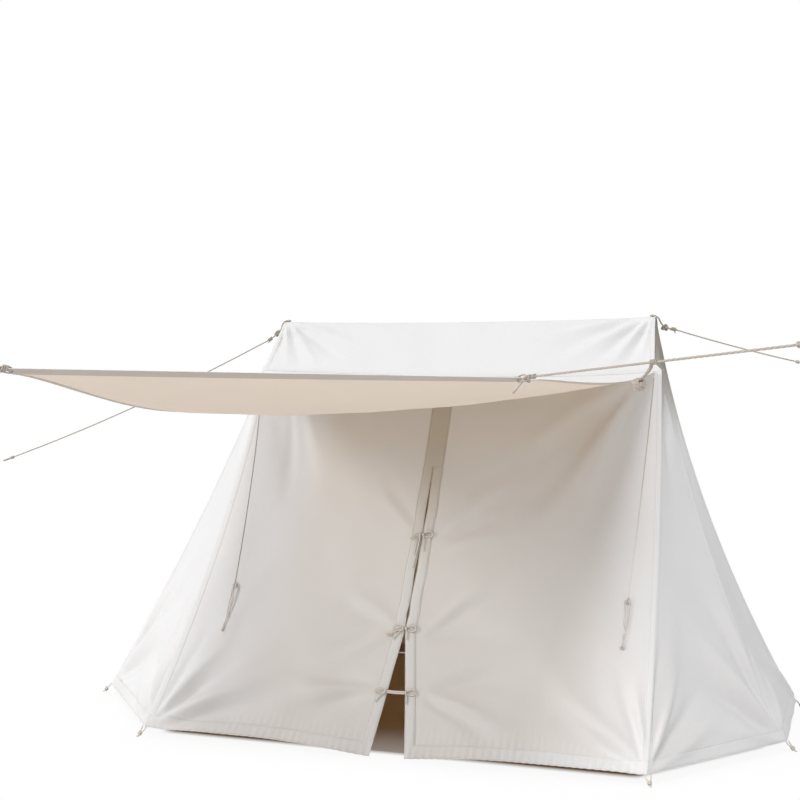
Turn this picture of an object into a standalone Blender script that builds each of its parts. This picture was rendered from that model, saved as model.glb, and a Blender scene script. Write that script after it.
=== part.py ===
"""Canvas ridge tent with bell ends, a stretched awning and a two-flap door.

Metres, +Z up, +X to the right and +Y to the back as seen from the door. The origin lies on the
ground under the middle of the tent and its awning. Every piece is one named object.
"""
import math

import bmesh
import bpy
import numpy as np
from mathutils import Matrix, Vector

# Plan of the base: eight pegged corners.
FRONT_EDGE = 2.357
END_REACH_LEFT = 0.614
END_REACH_RIGHT = 0.516
BELL_DEPTH = 0.719
END_EDGE = 0.812
HEM_LIFT = 0.052

# Ridge and poles.
RIDGE_LENGTH = 2.001
RIDGE_HEIGHT = 1.998
RIDGE_SHIFT = 0.0475
RIDGE_SAG = 0.014
RIDGE_POLE_RADIUS = 0.020
UPRIGHT_RADIUS = 0.019
UPRIGHT_FOOT_BEVEL = 0.004
SLEEVE_LENGTH = 0.16
SLEEVE_WALL = 0.0015
SLEEVE_CLEARANCE = 0.001
SPIKE_RADIUS = 0.004
SPIKE_HOLE_RADIUS = 0.005
SPIKE_INSET = 0.018
POLE_BEYOND_SPIKE = 0.014
SPIKE_ABOVE_RIDGE = 0.014
CAP_WALL = 0.002
CAP_SKIRT = 0.05
CAP_PLATE = 0.004
POLE_END_GAP = 0.0015

# Eave: the seam that the awning pulls forward.
EAVE_HEIGHT = 1.7344
EAVE_BACK = 0.8976
EAVE_SPREAD_LEFT = 0.028
EAVE_SPREAD_RIGHT = 0.061
EAVE_BOW = 0.054

GORE_TOP_TRIM = 0.2

# How far each run of canvas hangs in from a straight line.
FRONT_SEAM_SAG = 0.098
FRONT_SEAM_TUCK_LEFT = 0.015
WALL_MIDDLE_SAG = 0.071
END_SEAM_SAG_LEFT = 0.045
END_SEAM_SAG_RIGHT = 0.092
BACK_SEAM_SAG = 0.06
BACK_MIDDLE_SAG = 0.02
GORE_HOLLOW = 0.012

# Cloth and the gaps between sewn pieces.
CANVAS = 0.002
SEAM_GAP = 0.0003
LAID_GAP = 0.0004

# Patches and eyelets at the ridge ends.
PATCH_LENGTH = 0.10
RIDGE_EYELET_DEPTH = 0.0075

# Door.
DOOR_HEIGHT = 1.27
DOOR_SPLIT_HEIGHT = 0.53
DOOR_SPREAD_LEFT = 0.052
DOOR_SPREAD_RIGHT = 0.110
DOOR_SLIT = 0.004
DOOR_HEM_DROOP = 0.036
DOOR_DROOP_REACH = 0.34
DOOR_HEAD_RISE = 0.004
CREASE_FOOT = 0.012
PLACKET_WIDTH = 0.050
PLACKET_MARGIN = 0.006
PLACKET_CLOTH = 0.0015
TIE_HEIGHTS = (0.95, 0.54, 0.29)
TIE_CORD_RADIUS = 0.0025
TIE_LOOP_LENGTH = 0.052
TIE_LOOP_WIDTH = 0.018
TIE_KNOT_SWELL = 2.0
TIE_TAIL_REACH = 0.035
TIE_TAIL_LENGTH = 0.11
TIE_BRIDGE_GAP = 0.004
TIE_BACK_LENGTH = 0.225
TIE_BACK_WIDTH = 0.012
TIE_BACK_GAP_LEFT = 0.0010
TIE_BACK_GAP_RIGHT = 0.0016
TIE_BACK_HEIGHT_LEFT = 0.695
TIE_BACK_HEIGHT_RIGHT = 0.72
TIE_BACK_INSET_LEFT = 0.185
TIE_BACK_INSET_RIGHT = 0.13

# Awning.
AWNING_BACK_INSET_LEFT = 0.015
AWNING_BACK_INSET_RIGHT = 0.032
AWNING_FRONT_WIDTH = 1.934
AWNING_FRONT_SHIFT = 0.0478
AWNING_REACH = 2.367
AWNING_LEFT_HEIGHT = 1.7355
AWNING_RIGHT_HEIGHT = 1.7029
AWNING_BELLY = 0.063
AWNING_LEFT_SIDE_SAG = 0.181
AWNING_RIGHT_SIDE_SAG = 0.038
AWNING_SAG_LEAN = 0.47
AWNING_HEM_WIDTH = 0.050
AWNING_HEM_CLOTH = 0.0015
AWNING_BACK_GAP = 0.0012
AWNING_END_GAP = 0.0032
EYELET_INSET = 0.024
EYELET_HOLE_RADIUS = 0.0055
EYELET_WALL = 0.0008
EYELET_FLANGE = 0.0045
EYELET_FLANGE_HEIGHT = 0.0012

# Ropes.
AWNING_ROPE_RADIUS = 0.004
GUY_ROPE_RADIUS = 0.0036
PEG_LOOP_RADIUS = 0.003
PEG_LOOP_WIDTH = 0.027
PEG_LOOP_REACH = 0.058
ROPE_END_LOOP = 0.075
AWNING_ROPE_TURN = math.radians(30)
AWNING_ROPE_LENGTH_RIGHT = 0.97
AWNING_ROPE_LENGTH_LEFT = 0.25
AWNING_ROPE_RISE = 0.088
KNOT_CORD_RADIUS = 0.003
KNOT_LOOP_ROOM = 0.010
KNOT_SEAT = 0.0004

# The bundled hitch on the right awning rope: share of its drop to its swell.
HITCH_SHARE = 0.50
HITCH_DROP = 0.086
HITCH_PROFILE = {0.0: 1.0, 0.2: 1.1, 0.4: 1.6, 0.52: 2.4, 0.66: 4.2, 0.8: 4.9, 0.92: 3.8, 1.0: 1.8}

# Ridge ropes: slope, length and sag of each.
RIDGE_KNOT_BEYOND = 0.030
RIDGE_KNOT_WIDTH = 0.030
RIDGE_KNOT_SLACK = 0.0015
RIDGE_KNOT_DROP = 0.8
RIDGE_ROPES = {
    -1: (math.radians(23.8), 1.86, 0.025),
    1: (math.radians(18.2), 0.66, 0.0),
}

# Mesh fineness.
ROPE_RESOLUTION = 2
ROUND_SEGMENTS = 20
EYELET_SEGMENTS = 14
WALL_COLUMNS = 8
FLAP_COLUMNS = 12
BAND_COLUMNS = 2

# Derived places, in the tent's own plan: x from the middle of the front edge, y back from it.
DEPTH = 2 * BELL_DEPTH + END_EDGE
RIDGE_BACK = DEPTH / 2
HALF_FRONT = FRONT_EDGE / 2
RIDGE_END = {-1: RIDGE_SHIFT - RIDGE_LENGTH / 2, 1: RIDGE_SHIFT + RIDGE_LENGTH / 2}
EAVE_END = {-1: RIDGE_END[-1] - EAVE_SPREAD_LEFT, 1: RIDGE_END[1] + EAVE_SPREAD_RIGHT}
END_REACH = {-1: END_REACH_LEFT, 1: END_REACH_RIGHT}
END_SEAM_SAG = {-1: END_SEAM_SAG_LEFT, 1: END_SEAM_SAG_RIGHT}
CREST_RADIUS = RIDGE_POLE_RADIUS + SEAM_GAP + SLEEVE_WALL + SLEEVE_CLEARANCE + CANVAS
POLE_HEIGHT = RIDGE_HEIGHT - RIDGE_SAG - CREST_RADIUS
CANVAS_RISE = RIDGE_HEIGHT - HEM_LIFT
EAVE_SHARE = (EAVE_HEIGHT - HEM_LIFT) / CANVAS_RISE
DOOR_SHARE = (DOOR_HEIGHT - HEM_LIFT) / CANVAS_RISE
CREST_SHARE = 1 - 0.030 / CANVAS_RISE
GORE_TOP_SHARE = CREST_SHARE + (1 - CREST_SHARE) * 2 / 3
HINGE_STANDOFF = LAID_GAP + PLACKET_CLOTH + 0.0006
AWNING_FRONT = EAVE_BACK - AWNING_REACH
PEG_LOOP_BACK = PEG_LOOP_REACH * 0.9
PLAN_CENTRE = Vector(
    ((END_REACH_RIGHT - END_REACH_LEFT) / 2, (DEPTH + PEG_LOOP_BACK + AWNING_FRONT) / 2, 0)
)
INSIDE = np.array((RIDGE_SHIFT, RIDGE_BACK, 0.6))

CANVAS_COLOUR = (0.80, 0.79, 0.77)
HEM_COLOUR = (0.62, 0.58, 0.53)
ROPE_COLOUR = (0.62, 0.55, 0.46)
WOOD_COLOUR = (0.50, 0.33, 0.18)
STEEL_COLOUR = (0.55, 0.56, 0.58)
BRASS_COLOUR = (0.60, 0.48, 0.25)


# Scene, collections, materials and parents.
for old in list(bpy.data.objects):
    bpy.data.objects.remove(old, do_unlink=True)

tent_parts = bpy.data.collections.new("canvas_tent")
cutters = bpy.data.collections.new("cutters")
bpy.context.scene.collection.children.link(tent_parts)
bpy.context.scene.collection.children.link(cutters)


def material(name, colour, roughness, metallic=0.0):
    made = bpy.data.materials.new(name)
    made.use_nodes = True
    shader = made.node_tree.nodes["Principled BSDF"]
    shader.inputs["Base Color"].default_value = (*colour, 1.0)
    shader.inputs["Roughness"].default_value = roughness
    shader.inputs["Metallic"].default_value = metallic
    return made


CANVAS_CLOTH = material("canvas", CANVAS_COLOUR, 0.9)
HEM_CLOTH = material("hem_cloth", HEM_COLOUR, 0.9)
ROPE = material("rope", ROPE_COLOUR, 0.85)
WOOD = material("pole_wood", WOOD_COLOUR, 0.55)
STEEL = material("zinced_steel", STEEL_COLOUR, 0.35, 0.9)
BRASS = material("brass", BRASS_COLOUR, 0.35, 0.9)


def empty(name, place, parent=None):
    made = bpy.data.objects.new(name, None)
    made.empty_display_size = 0.1
    tent_parts.objects.link(made)
    made.location = place
    if parent is not None:
        made.parent = parent
        made.location = Vector(place) - PARENT_PLACES[parent.name]
    PARENT_PLACES[name] = Vector(place)
    return made


# Where each parent stands in the tent's own plan, so that a piece made in that plan stays put.
PARENT_PLACES = {}
tent_frame = empty("tent_frame", -PLAN_CENTRE)
PARENT_PLACES["tent_frame"] = Vector((0, 0, 0))


def add(mesh, name, surface, parent=tent_frame, smooth=False):
    """Names a mesh, gives it its material and hangs it on its parent."""
    made = bpy.data.objects.new(name, mesh)
    made.data.materials.clear()
    made.data.materials.append(surface)
    made.parent = parent
    made.location = -PARENT_PLACES[parent.name]
    tent_parts.objects.link(made)
    if smooth:
        mesh.shade_smooth()
        mesh.set_sharp_from_angle(angle=math.radians(35))
    return made


# Seams: each is a curve of the canvas, by its share t of the height from hem to ridge.
def bow(share):
    return 4 * share * (1 - share)


def edge_fade(share):
    """Brings folds to nothing at the two edges of a panel."""
    return 1 - (1 - bow(share)) ** 4


def base_corner(side, depth):
    """A pegged corner: depth 0 and 3 are the front and back corners, 1 and 2 the end ones."""
    x = side * (HALF_FRONT + (END_REACH[side] if depth in (1, 2) else 0))
    y = (0, BELL_DEPTH, BELL_DEPTH + END_EDGE, DEPTH)[depth]
    return np.array((x, y, HEM_LIFT))


def ridge_end(side):
    return np.array((RIDGE_END[side], RIDGE_BACK, RIDGE_HEIGHT))


def eave_corner(side):
    return np.array((EAVE_END[side], EAVE_BACK, EAVE_HEIGHT))


def ridge_line(x):
    """Height of the canvas ridge, which hangs a little between its ends."""
    share = (x - RIDGE_END[-1]) / RIDGE_LENGTH
    return RIDGE_HEIGHT - RIDGE_SAG * bow(min(max(share, 0.0), 1.0))


def crest_radius(x):
    """Radius of the canvas's rounded crest about the ridge pole, which grows to the ends."""
    return ridge_line(x) - POLE_HEIGHT


def over_crest(foot, x, rise):
    """A line of canvas from a foot to the crest and over it, as (y, z) offsets from the pole.

    rise runs from 0 at the foot to 1 where the canvas meets the crest, and to 2 on top of it.
    """
    radius = crest_radius(x)
    y, z = foot[1] - RIDGE_BACK, foot[2] - POLE_HEIGHT
    lean = math.atan2(abs(y), z) - math.acos(radius / math.hypot(y, z))
    front = math.copysign(1.0, y)
    touch = np.array((front * radius * math.sin(lean), radius * math.cos(lean)))
    if rise <= 1.0:
        return np.array((y, z)) * (1 - rise) + touch * rise
    angle = lean * (2.0 - rise)
    return np.array((front * radius * math.sin(angle), radius * math.cos(angle)))


def crest_rise(t, low):
    """Turns a height share into the rise that over_crest takes, for a foot at the share low."""
    if t <= CREST_SHARE:
        return (t - low) / (CREST_SHARE - low)
    return 1.0 + (t - CREST_SHARE) / (1.0 - CREST_SHARE)


def front_seam(side):
    foot, eave, top = base_corner(side, 0), eave_corner(side), ridge_end(side)
    tuck = FRONT_SEAM_TUCK_LEFT if side < 0 else 0.0

    def at(t):
        if t <= EAVE_SHARE:
            share = t / EAVE_SHARE
            hang = np.array((-side * tuck, FRONT_SEAM_SAG, 0.0))
            return foot + (eave - foot) * share + hang * bow(share)
        y, z = over_crest(eave, top[0], crest_rise(t, EAVE_SHARE))
        x = eave[0] + (top[0] - eave[0]) * (t - EAVE_SHARE) / (1 - EAVE_SHARE)
        return np.array((x, RIDGE_BACK + y, POLE_HEIGHT + z))

    return at


def plain_seam(side, depth, sag):
    foot, top = base_corner(side, depth), ridge_end(side)
    inward = np.array((INSIDE[0] - foot[0], INSIDE[1] - foot[1], 0.0))
    inward *= sag / np.linalg.norm(inward)

    def at(t):
        if depth < 3:
            return foot + (top - foot) * t + inward * bow(t)
        rise = crest_rise(t, 0.0)
        y, z = over_crest(foot, top[0], rise)
        point = np.array((foot[0] + (top[0] - foot[0]) * t, RIDGE_BACK + y, POLE_HEIGHT + z))
        return point + inward * bow(min(rise, 1.0))

    return at


SEAMS = {
    side: (
        front_seam(side),
        plain_seam(side, 1, END_SEAM_SAG[side]),
        plain_seam(side, 2, END_SEAM_SAG[side]),
        plain_seam(side, 3, BACK_SEAM_SAG),
    )
    for side in (-1, 1)
}


# Folds: each is (s, t) of its two ends on a panel, its half width and its height in metres.
WALL_FOLDS = (
    ((0.010, 0.02), (0.20, 0.52), 0.070, 0.016),
    ((0.020, 0.01), (0.33, 0.30), 0.070, 0.014),
    ((0.030, 0.80), (0.24, 0.42), 0.080, -0.016),
    ((0.990, 0.02), (0.82, 0.52), 0.070, 0.017),
    ((0.980, 0.01), (0.69, 0.30), 0.070, 0.015),
    ((0.965, 0.82), (0.72, 0.42), 0.080, 0.018),
    ((0.950, 0.80), (0.84, 0.34), 0.070, -0.014),
)
ROOF_FOLDS = (
    ((0.04, 0.975), (0.18, 0.885), 0.060, 0.009),
    ((0.08, 0.975), (0.42, 0.895), 0.060, -0.007),
    ((0.96, 0.975), (0.80, 0.885), 0.060, 0.010),
    ((0.92, 0.975), (0.58, 0.895), 0.060, -0.008),
)
GORE_FOLDS = (
    ((0.06, 0.03), (0.42, 0.42), 0.060, 0.011),
    ((0.94, 0.03), (0.62, 0.50), 0.060, 0.011),
    ((0.50, 0.90), (0.48, 0.36), 0.060, -0.008),
)
BACK_FOLDS = (
    ((0.02, 0.02), (0.22, 0.55), 0.090, 0.016),
    ((0.98, 0.02), (0.78, 0.55), 0.090, 0.016),
    ((0.04, 0.95), (0.30, 0.55), 0.090, -0.012),
    ((0.96, 0.95), (0.70, 0.55), 0.090, -0.012),
)
AWNING_FOLDS = (
    ((0.02, 0.98), (0.34, 0.50), 0.110, 0.016),
    ((0.98, 0.98), (0.66, 0.50), 0.110, 0.014),
    ((0.02, 0.02), (0.36, 0.40), 0.110, -0.012),
)


def fold_height(folds, s, t, width, height):
    """How far folds lift the cloth at (s, t), on a panel of this width and height."""
    here = np.array(((s - 0.5) * width(t), t * height))
    lift = 0.0
    for (s0, t0), (s1, t1), half, rise in folds:
        start = np.array(((s0 - 0.5) * width(t0), t0 * height))
        along = np.array(((s1 - 0.5) * width(t1), t1 * height)) - start
        share = np.dot(here - start, along) / np.dot(along, along)
        if not 0.0 < share < 1.0:
            continue
        off = np.linalg.norm(here - start - along * share)
        spread = half * (0.55 + 0.9 * share)
        lift += rise * math.sin(math.pi * share**0.75) ** 2 * math.exp(-((off / spread) ** 2))
    return lift


def panel_between(left, right, hollow, folds):
    """A canvas surface between two seams, hollow in its middle, with its main folds."""

    def width(t):
        return float(np.linalg.norm(right(t) - left(t)))

    def at(s, t):
        a, b = left(t), right(t)
        point = a + (b - a) * s
        outward = np.array((point[0] - INSIDE[0], point[1] - INSIDE[1], 0.0))
        outward /= np.linalg.norm(outward)
        rise = fold_height(folds, s, t, width, CANVAS_RISE) * edge_fade(s)
        return point + outward * (rise - hollow * bow(s) * bow(t))

    return at


def front_wall(s, t):
    """The front wall from hem to eave, s across the whole width."""
    left, right = SEAMS[-1][0](t), SEAMS[1][0](t)
    share = t / EAVE_SHARE
    point = left + (right - left) * s
    forward = EAVE_BOW * share + (FRONT_SEAM_SAG - WALL_MIDDLE_SAG) * bow(share)
    point[1] -= forward * bow(s)
    drop = DOOR_HEM_DROOP * math.exp(-((point[0] / DOOR_DROOP_REACH) ** 2))
    point[2] -= drop * max(1 - share, 0.0) ** 4
    point[1] -= fold_height(WALL_FOLDS, s, t, lambda _: FRONT_EDGE, CANVAS_RISE) * edge_fade(s)
    return point


def roof_line(foot, x_foot, x_top, t, low):
    """A point at height share t on the line of canvas from a foot up over the ridge."""
    y, z = over_crest(foot, x_top, crest_rise(t, low))
    x = x_foot + (x_top - x_foot) * (t - low) / (1 - low)
    return np.array((x, RIDGE_BACK + y, POLE_HEIGHT + z))


def front_roof(s, t):
    """The front of the roof from eave to ridge, s across the whole width."""
    left, right = eave_corner(-1), eave_corner(1)
    foot = left + (right - left) * s
    foot[1] -= EAVE_BOW * bow(s)
    top_x = RIDGE_END[-1] + RIDGE_LENGTH * s
    point = roof_line(foot, foot[0], top_x, t, EAVE_SHARE)
    if t < CREST_SHARE:
        fold = fold_height(ROOF_FOLDS, s, t, lambda _: RIDGE_LENGTH, CANVAS_RISE)
        point[1] -= fold * edge_fade(s)
    return point


def back_surface(s, t):
    """The back panel from hem to ridge, s across the whole width."""
    left, right = base_corner(-1, 3), base_corner(1, 3)
    foot = left + (right - left) * s
    top_x = RIDGE_END[-1] + RIDGE_LENGTH * s
    point = roof_line(foot, foot[0], top_x, t, 0.0)
    rise = min(crest_rise(t, 0.0), 1.0)
    inward = np.array((INSIDE[0] - foot[0], INSIDE[1] - foot[1], 0.0))
    point += inward * BACK_SEAM_SAG * bow(rise) / np.linalg.norm(inward)
    point[1] -= BACK_MIDDLE_SAG * bow(s) * bow(rise)
    if t < CREST_SHARE:
        fold = fold_height(BACK_FOLDS, s, t, lambda _: FRONT_EDGE, CANVAS_RISE)
        point[1] += fold * edge_fade(s)
    return point


def gore(side, first):
    hollow = GORE_HOLLOW
    return panel_between(SEAMS[side][first], SEAMS[side][first + 1], hollow, GORE_FOLDS)


GORES = {side: [gore(side, first) for first in range(3)] for side in (-1, 1)}


# Sheets of canvas: an outer face, an inner face one cloth in, and the rim between them.
STEP = 1e-4


def slopes(surface, s, t):
    s0, s1 = max(s - STEP, 0.0), min(s + STEP, 1.0)
    t0, t1 = max(t - STEP, 0.0), min(t + STEP, 1.0)
    return surface(s1, t) - surface(s0, t), surface(s, t1) - surface(s, t0)


def facing(surface, s, t):
    """Unit normal of a surface, away from the inside of the tent."""
    across, up = slopes(surface, s, t)
    normal = np.cross(across, up)
    normal /= np.linalg.norm(normal)
    return normal if np.dot(normal, surface(s, t) - INSIDE) > 0 else -normal


def slid(move, along, axis):
    """Slides a move along the cloth until it has no part along the given axis."""
    return move - along * (move[axis] / along[axis])


def cloth_grid(surface, rows, neighbour=None, cuts=None):
    """Outer and inner points of a panel.

    rows is a list of (t, [s, ...]). neighbour(s, t) gives the normal of the panel sewn on at
    an edge, or None where the edge is free. cuts says which rows are cut square to an axis.
    """
    cuts = {number % len(rows): axis for number, axis in (cuts or {}).items()}
    outer, inner = [], []
    for number, (t, places) in enumerate(rows):
        outer_row, inner_row = [], []
        for column, s in enumerate(places):
            across, up = slopes(surface, s, t)
            up = up / np.linalg.norm(up)
            normal = facing(surface, s, t)
            point = surface(s, t)
            at_edge = neighbour is not None and column in (0, len(places) - 1)
            other = neighbour(s, t) if at_edge else None
            if other is None:
                move = -CANVAS * normal
            else:
                move = -CANVAS * (normal + other) / (1 + np.dot(normal, other))
                inward = np.cross(up, normal + other)
                inward /= np.linalg.norm(inward)
                if np.dot(inward, across) * (1 if column == 0 else -1) < 0:
                    inward = -inward
                point = point + inward * SEAM_GAP / 2
            if number in cuts:
                move = slid(move, up, cuts[number])
            outer_row.append(point)
            inner_row.append(point + move)
        outer.append(outer_row)
        inner.append(inner_row)
    return np.array(outer), np.array(inner)


def shell(outer, inner):
    """Closes two like grids into one body, each cell split the same way on every sheet."""
    rows, columns = outer.shape[:2]
    made = bmesh.new()
    front = [[made.verts.new(outer[r, c]) for c in range(columns)] for r in range(rows)]
    back = [[made.verts.new(inner[r, c]) for c in range(columns)] for r in range(rows)]
    for r in range(rows - 1):
        for c in range(columns - 1):
            low = (r, c), (r, c + 1), (r + 1, c + 1)
            high = (r, c), (r + 1, c + 1), (r + 1, c)
            for ring in (low, high):
                made.faces.new([front[i][j] for i, j in ring])
                made.faces.new([back[i][j] for i, j in reversed(ring)])
    rim = [(0, c) for c in range(columns)] + [(r, columns - 1) for r in range(1, rows)]
    rim += [(rows - 1, c) for c in reversed(range(columns - 1))]
    rim += [(r, 0) for r in reversed(range(1, rows - 1))]
    for here, after in zip(rim, rim[1:] + rim[:1]):
        (i, j), (k, m) = sorted((here, after))
        made.faces.new((front[i][j], back[i][j], back[k][m]))
        made.faces.new((front[i][j], back[k][m], front[k][m]))
    bmesh.ops.recalc_face_normals(made, faces=made.faces)
    mesh = bpy.data.meshes.new("cloth")
    made.to_mesh(mesh)
    made.free()
    return mesh


def spaced(low, high, count):
    return [low + (high - low) * i / count for i in range(count + 1)]


def plain_rows(ts, columns):
    return [(t, spaced(0.0, 1.0, columns)) for t in ts]


def beside_gores(s, t):
    """Normal of the bell end sewn to the front or back panel at its left or right edge."""
    side = -1 if s < 0.5 else 1
    return facing(GORES[side][0], 0.0, min(t, GORE_TOP_SHARE))


def beside_back_gores(s, t):
    side = -1 if s < 0.5 else 1
    return facing(GORES[side][2], 1.0, min(t, GORE_TOP_SHARE))


def beside_gore(side, number):
    def at(s, t):
        if s < 0.5:
            if number > 0:
                return facing(GORES[side][number - 1], 1.0, t)
            edge = 0.0 if side < 0 else 1.0
            surface = front_wall if t <= EAVE_SHARE else front_roof
            return facing(surface, edge, min(t, EAVE_SHARE) if t <= EAVE_SHARE else t)
        if number < 2:
            return facing(GORES[side][number + 1], 0.0, t)
        return facing(back_surface, 0.0 if side < 0 else 1.0, t)

    return at


CREST_ROWS = spaced(CREST_SHARE, 1.0, 3)
HALF_SEAM_SHARE = SEAM_GAP / 2 / CANVAS_RISE
EAVE_ROWS = [EAVE_SHARE - HALF_SEAM_SHARE, EAVE_SHARE + HALF_SEAM_SHARE]
DOOR_ROWS = spaced(0.0, DOOR_SHARE, 9)
HEAD_ROWS = [DOOR_SHARE + DOOR_HEAD_RISE / CANVAS_RISE]
HEAD_ROWS += spaced(DOOR_SHARE, EAVE_SHARE, 4)[1:-1] + [EAVE_ROWS[0]]
ROOF_ROWS = [EAVE_ROWS[1]] + spaced(EAVE_SHARE, CREST_SHARE, 4)[1:] + CREST_ROWS[1:]
FULL_ROWS = DOOR_ROWS + HEAD_ROWS + ROOF_ROWS
EAVE_CUTS = {0: 2, len(DOOR_ROWS + HEAD_ROWS) - 1: 2, len(DOOR_ROWS + HEAD_ROWS): 2}


def crest_places(columns):
    """Shares across a panel that reaches the ridge, with some at the edges of the patches."""
    patch = PATCH_LENGTH / RIDGE_LENGTH
    places = [0.0] + spaced(patch / 2, patch, 1) + spaced(patch, 1 - patch, columns)[1:]
    return places + [1 - patch / 2, 1.0]


def build_canvas():
    """Roof, back and the two bell ends."""
    rows = [(t, crest_places(12)) for t in ROOF_ROWS]
    outer, inner = cloth_grid(front_roof, rows, beside_gores, {0: 2, -1: 1})
    outer[-1, :, 1] -= SEAM_GAP / 2
    inner[-1, :, 1] -= SEAM_GAP / 2
    roof = add(shell(outer, inner), "front_roof", CANVAS_CLOTH)

    rows = [(t, crest_places(9)) for t in FULL_ROWS]
    outer, inner = cloth_grid(back_surface, rows, beside_back_gores, {0: 2, -1: 1})
    outer[-1, :, 1] += SEAM_GAP / 2
    inner[-1, :, 1] += SEAM_GAP / 2
    back = add(shell(outer, inner), "back_panel", CANVAS_CLOTH)

    names = ("front_gore", "end_gore", "rear_gore")
    rows = plain_rows([t for t in FULL_ROWS if t < GORE_TOP_SHARE + HALF_SEAM_SHARE], 6)
    for side, word in ((-1, "left"), (1, "right")):
        for number, name in enumerate(names):
            surface, neighbour = GORES[side][number], beside_gore(side, number)
            outer, inner = cloth_grid(surface, rows, neighbour, EAVE_CUTS)
            for sheet in (outer, inner):
                sheet[-1] += (sheet[-2] - sheet[-1]) * GORE_TOP_TRIM
            add(shell(outer, inner), f"{word}_{name}", CANVAS_CLOTH)
    return roof, back


# The door: two flaps that fold out about a crease from the head of the slit to a front corner.
def slit_x(height):
    """Where the slit stands at a height, before its lower part spreads."""
    return RIDGE_SHIFT * (height - HEM_LIFT) / (EAVE_HEIGHT - HEM_LIFT)


def share_across(x, t):
    left, right = SEAMS[-1][0](t)[0], SEAMS[1][0](t)[0]
    return (x - left) / (right - left)


def door_edge(side, t, off=0.0, gap=DOOR_SLIT):
    """Share across the wall at a distance off the free edge of a flap."""
    height = HEM_LIFT + t * CANVAS_RISE
    spread = DOOR_SPREAD_LEFT if side < 0 else DOOR_SPREAD_RIGHT
    opened = spread * max(0.0, 1 - (height - HEM_LIFT) / (DOOR_SPLIT_HEIGHT - HEM_LIFT))
    return share_across(slit_x(height) + side * (opened + gap / 2 + off), t)


def crease(side, t):
    """Share across the wall of the crease that a flap folds about."""
    foot = CREASE_FOOT / FRONT_EDGE
    foot = foot if side < 0 else 1 - foot
    top = door_edge(side, DOOR_SHARE, PLACKET_WIDTH + PLACKET_MARGIN)
    return foot + (top - foot) * t / DOOR_SHARE


def in_front(s, t, distance):
    """A point at a distance in front of the wall."""
    return front_wall(s, t) + facing(front_wall, s, t) * distance


def hinge_points(side):
    """The two ends of a flap's hinge line, a little in front of the canvas."""
    foot = in_front(crease(side, 0.0), 0.0, HINGE_STANDOFF)
    return foot, in_front(crease(side, DOOR_SHARE), DOOR_SHARE, HINGE_STANDOFF)


CREASE_GAP = SEAM_GAP / FRONT_EDGE


def ordered(side, places):
    return places if side < 0 else places[::-1]


def build_walls():
    """The parts of the front wall that stay sewn, either side of the closed head of the slit."""
    for side, word in ((-1, "left"), (1, "right")):
        seam = 0.0 if side < 0 else 1.0
        rows = []
        for t in DOOR_ROWS:
            edge = crease(side, t) + side * CREASE_GAP / 2
            rows.append((t, ordered(side, spaced(seam, edge, WALL_COLUMNS + BAND_COLUMNS))))
        for t in HEAD_ROWS:
            band = door_edge(side, t, PLACKET_WIDTH, SEAM_GAP)
            places = spaced(seam, band, WALL_COLUMNS)
            places += spaced(band, door_edge(side, t, 0.0, SEAM_GAP), BAND_COLUMNS)[1:]
            rows.append((t, ordered(side, places)))

        def neighbour(s, t, seam=seam):
            return beside_gores(s, t) if s == seam else None

        outer, inner = cloth_grid(front_wall, rows, neighbour, {0: 2, -1: 2})
        add(shell(outer, inner), f"{word}_wall", CANVAS_CLOTH)


def build_flaps(hinges):
    """The two flaps and the doubled band along each one's free edge."""
    ts = DOOR_ROWS[:-1] + [DOOR_SHARE - HALF_SEAM_SHARE]
    for side, word in ((-1, "left"), (1, "right")):
        rows, band_rows = [], []
        for t in ts:
            edge = crease(side, t) - side * CREASE_GAP / 2
            band = door_edge(side, t, PLACKET_WIDTH)
            band_places = spaced(band, door_edge(side, t), BAND_COLUMNS)
            rows.append((t, ordered(side, spaced(edge, band, FLAP_COLUMNS) + band_places[1:])))
            band_rows.append((t, ordered(side, band_places)))
        outer, inner = cloth_grid(front_wall, rows, None, {0: 2})
        add(shell(outer, inner), f"{word}_flap", CANVAS_CLOTH, hinges[side])
        add(shell(*laid_band(band_rows)), f"{word}_placket", CANVAS_CLOTH, hinges[side])


def laid_band(rows):
    """A strip of cloth laid on the front of the wall."""
    high, low = LAID_GAP + PLACKET_CLOTH, LAID_GAP
    outer = [[in_front(s, t, high) for s in places] for t, places in rows]
    inner = [[in_front(s, t, low) for s in places] for t, places in rows]
    return np.array(outer), np.array(inner)


def build_upper_placket():
    """The band over the sewn head of the slit."""
    rows = []
    for t in HEAD_ROWS[:-1] + [EAVE_SHARE - PLACKET_MARGIN / CANVAS_RISE]:
        left = spaced(
            door_edge(-1, t, PLACKET_WIDTH, SEAM_GAP), door_edge(-1, t, 0.0, 0.0), BAND_COLUMNS
        )
        right = spaced(
            door_edge(1, t, 0.0, 0.0), door_edge(1, t, PLACKET_WIDTH, SEAM_GAP), BAND_COLUMNS
        )
        rows.append((t, left + right[1:]))
    add(shell(*laid_band(rows)), "upper_placket", CANVAS_CLOTH)


# Round pieces, tubes and holes.
def turned(
    profile,
    name,
    surface,
    place,
    axis=(0, 0, 1),
    parent=tent_frame,
    closed=False,
    segments=ROUND_SEGMENTS,
):
    """Turns a profile of (radius, height) points, given down its outer side."""
    mesh = bpy.data.meshes.new(name)
    edges = [(number, number + 1) for number in range(len(profile) - 1)]
    if closed:
        edges.append((len(profile) - 1, 0))
    mesh.from_pydata([(radius, 0.0, height) for radius, height in profile], edges, [])
    made = add(mesh, name, surface, parent)
    screw = made.modifiers.new("turn", "SCREW")
    screw.steps = segments
    screw.render_steps = segments
    screw.use_merge_vertices = True
    screw.merge_threshold = 0.0001
    made.location = Vector(place) - PARENT_PLACES[parent.name]
    made.rotation_euler = Vector((0, 0, 1)).rotation_difference(Vector(axis)).to_euler()
    return made


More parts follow.
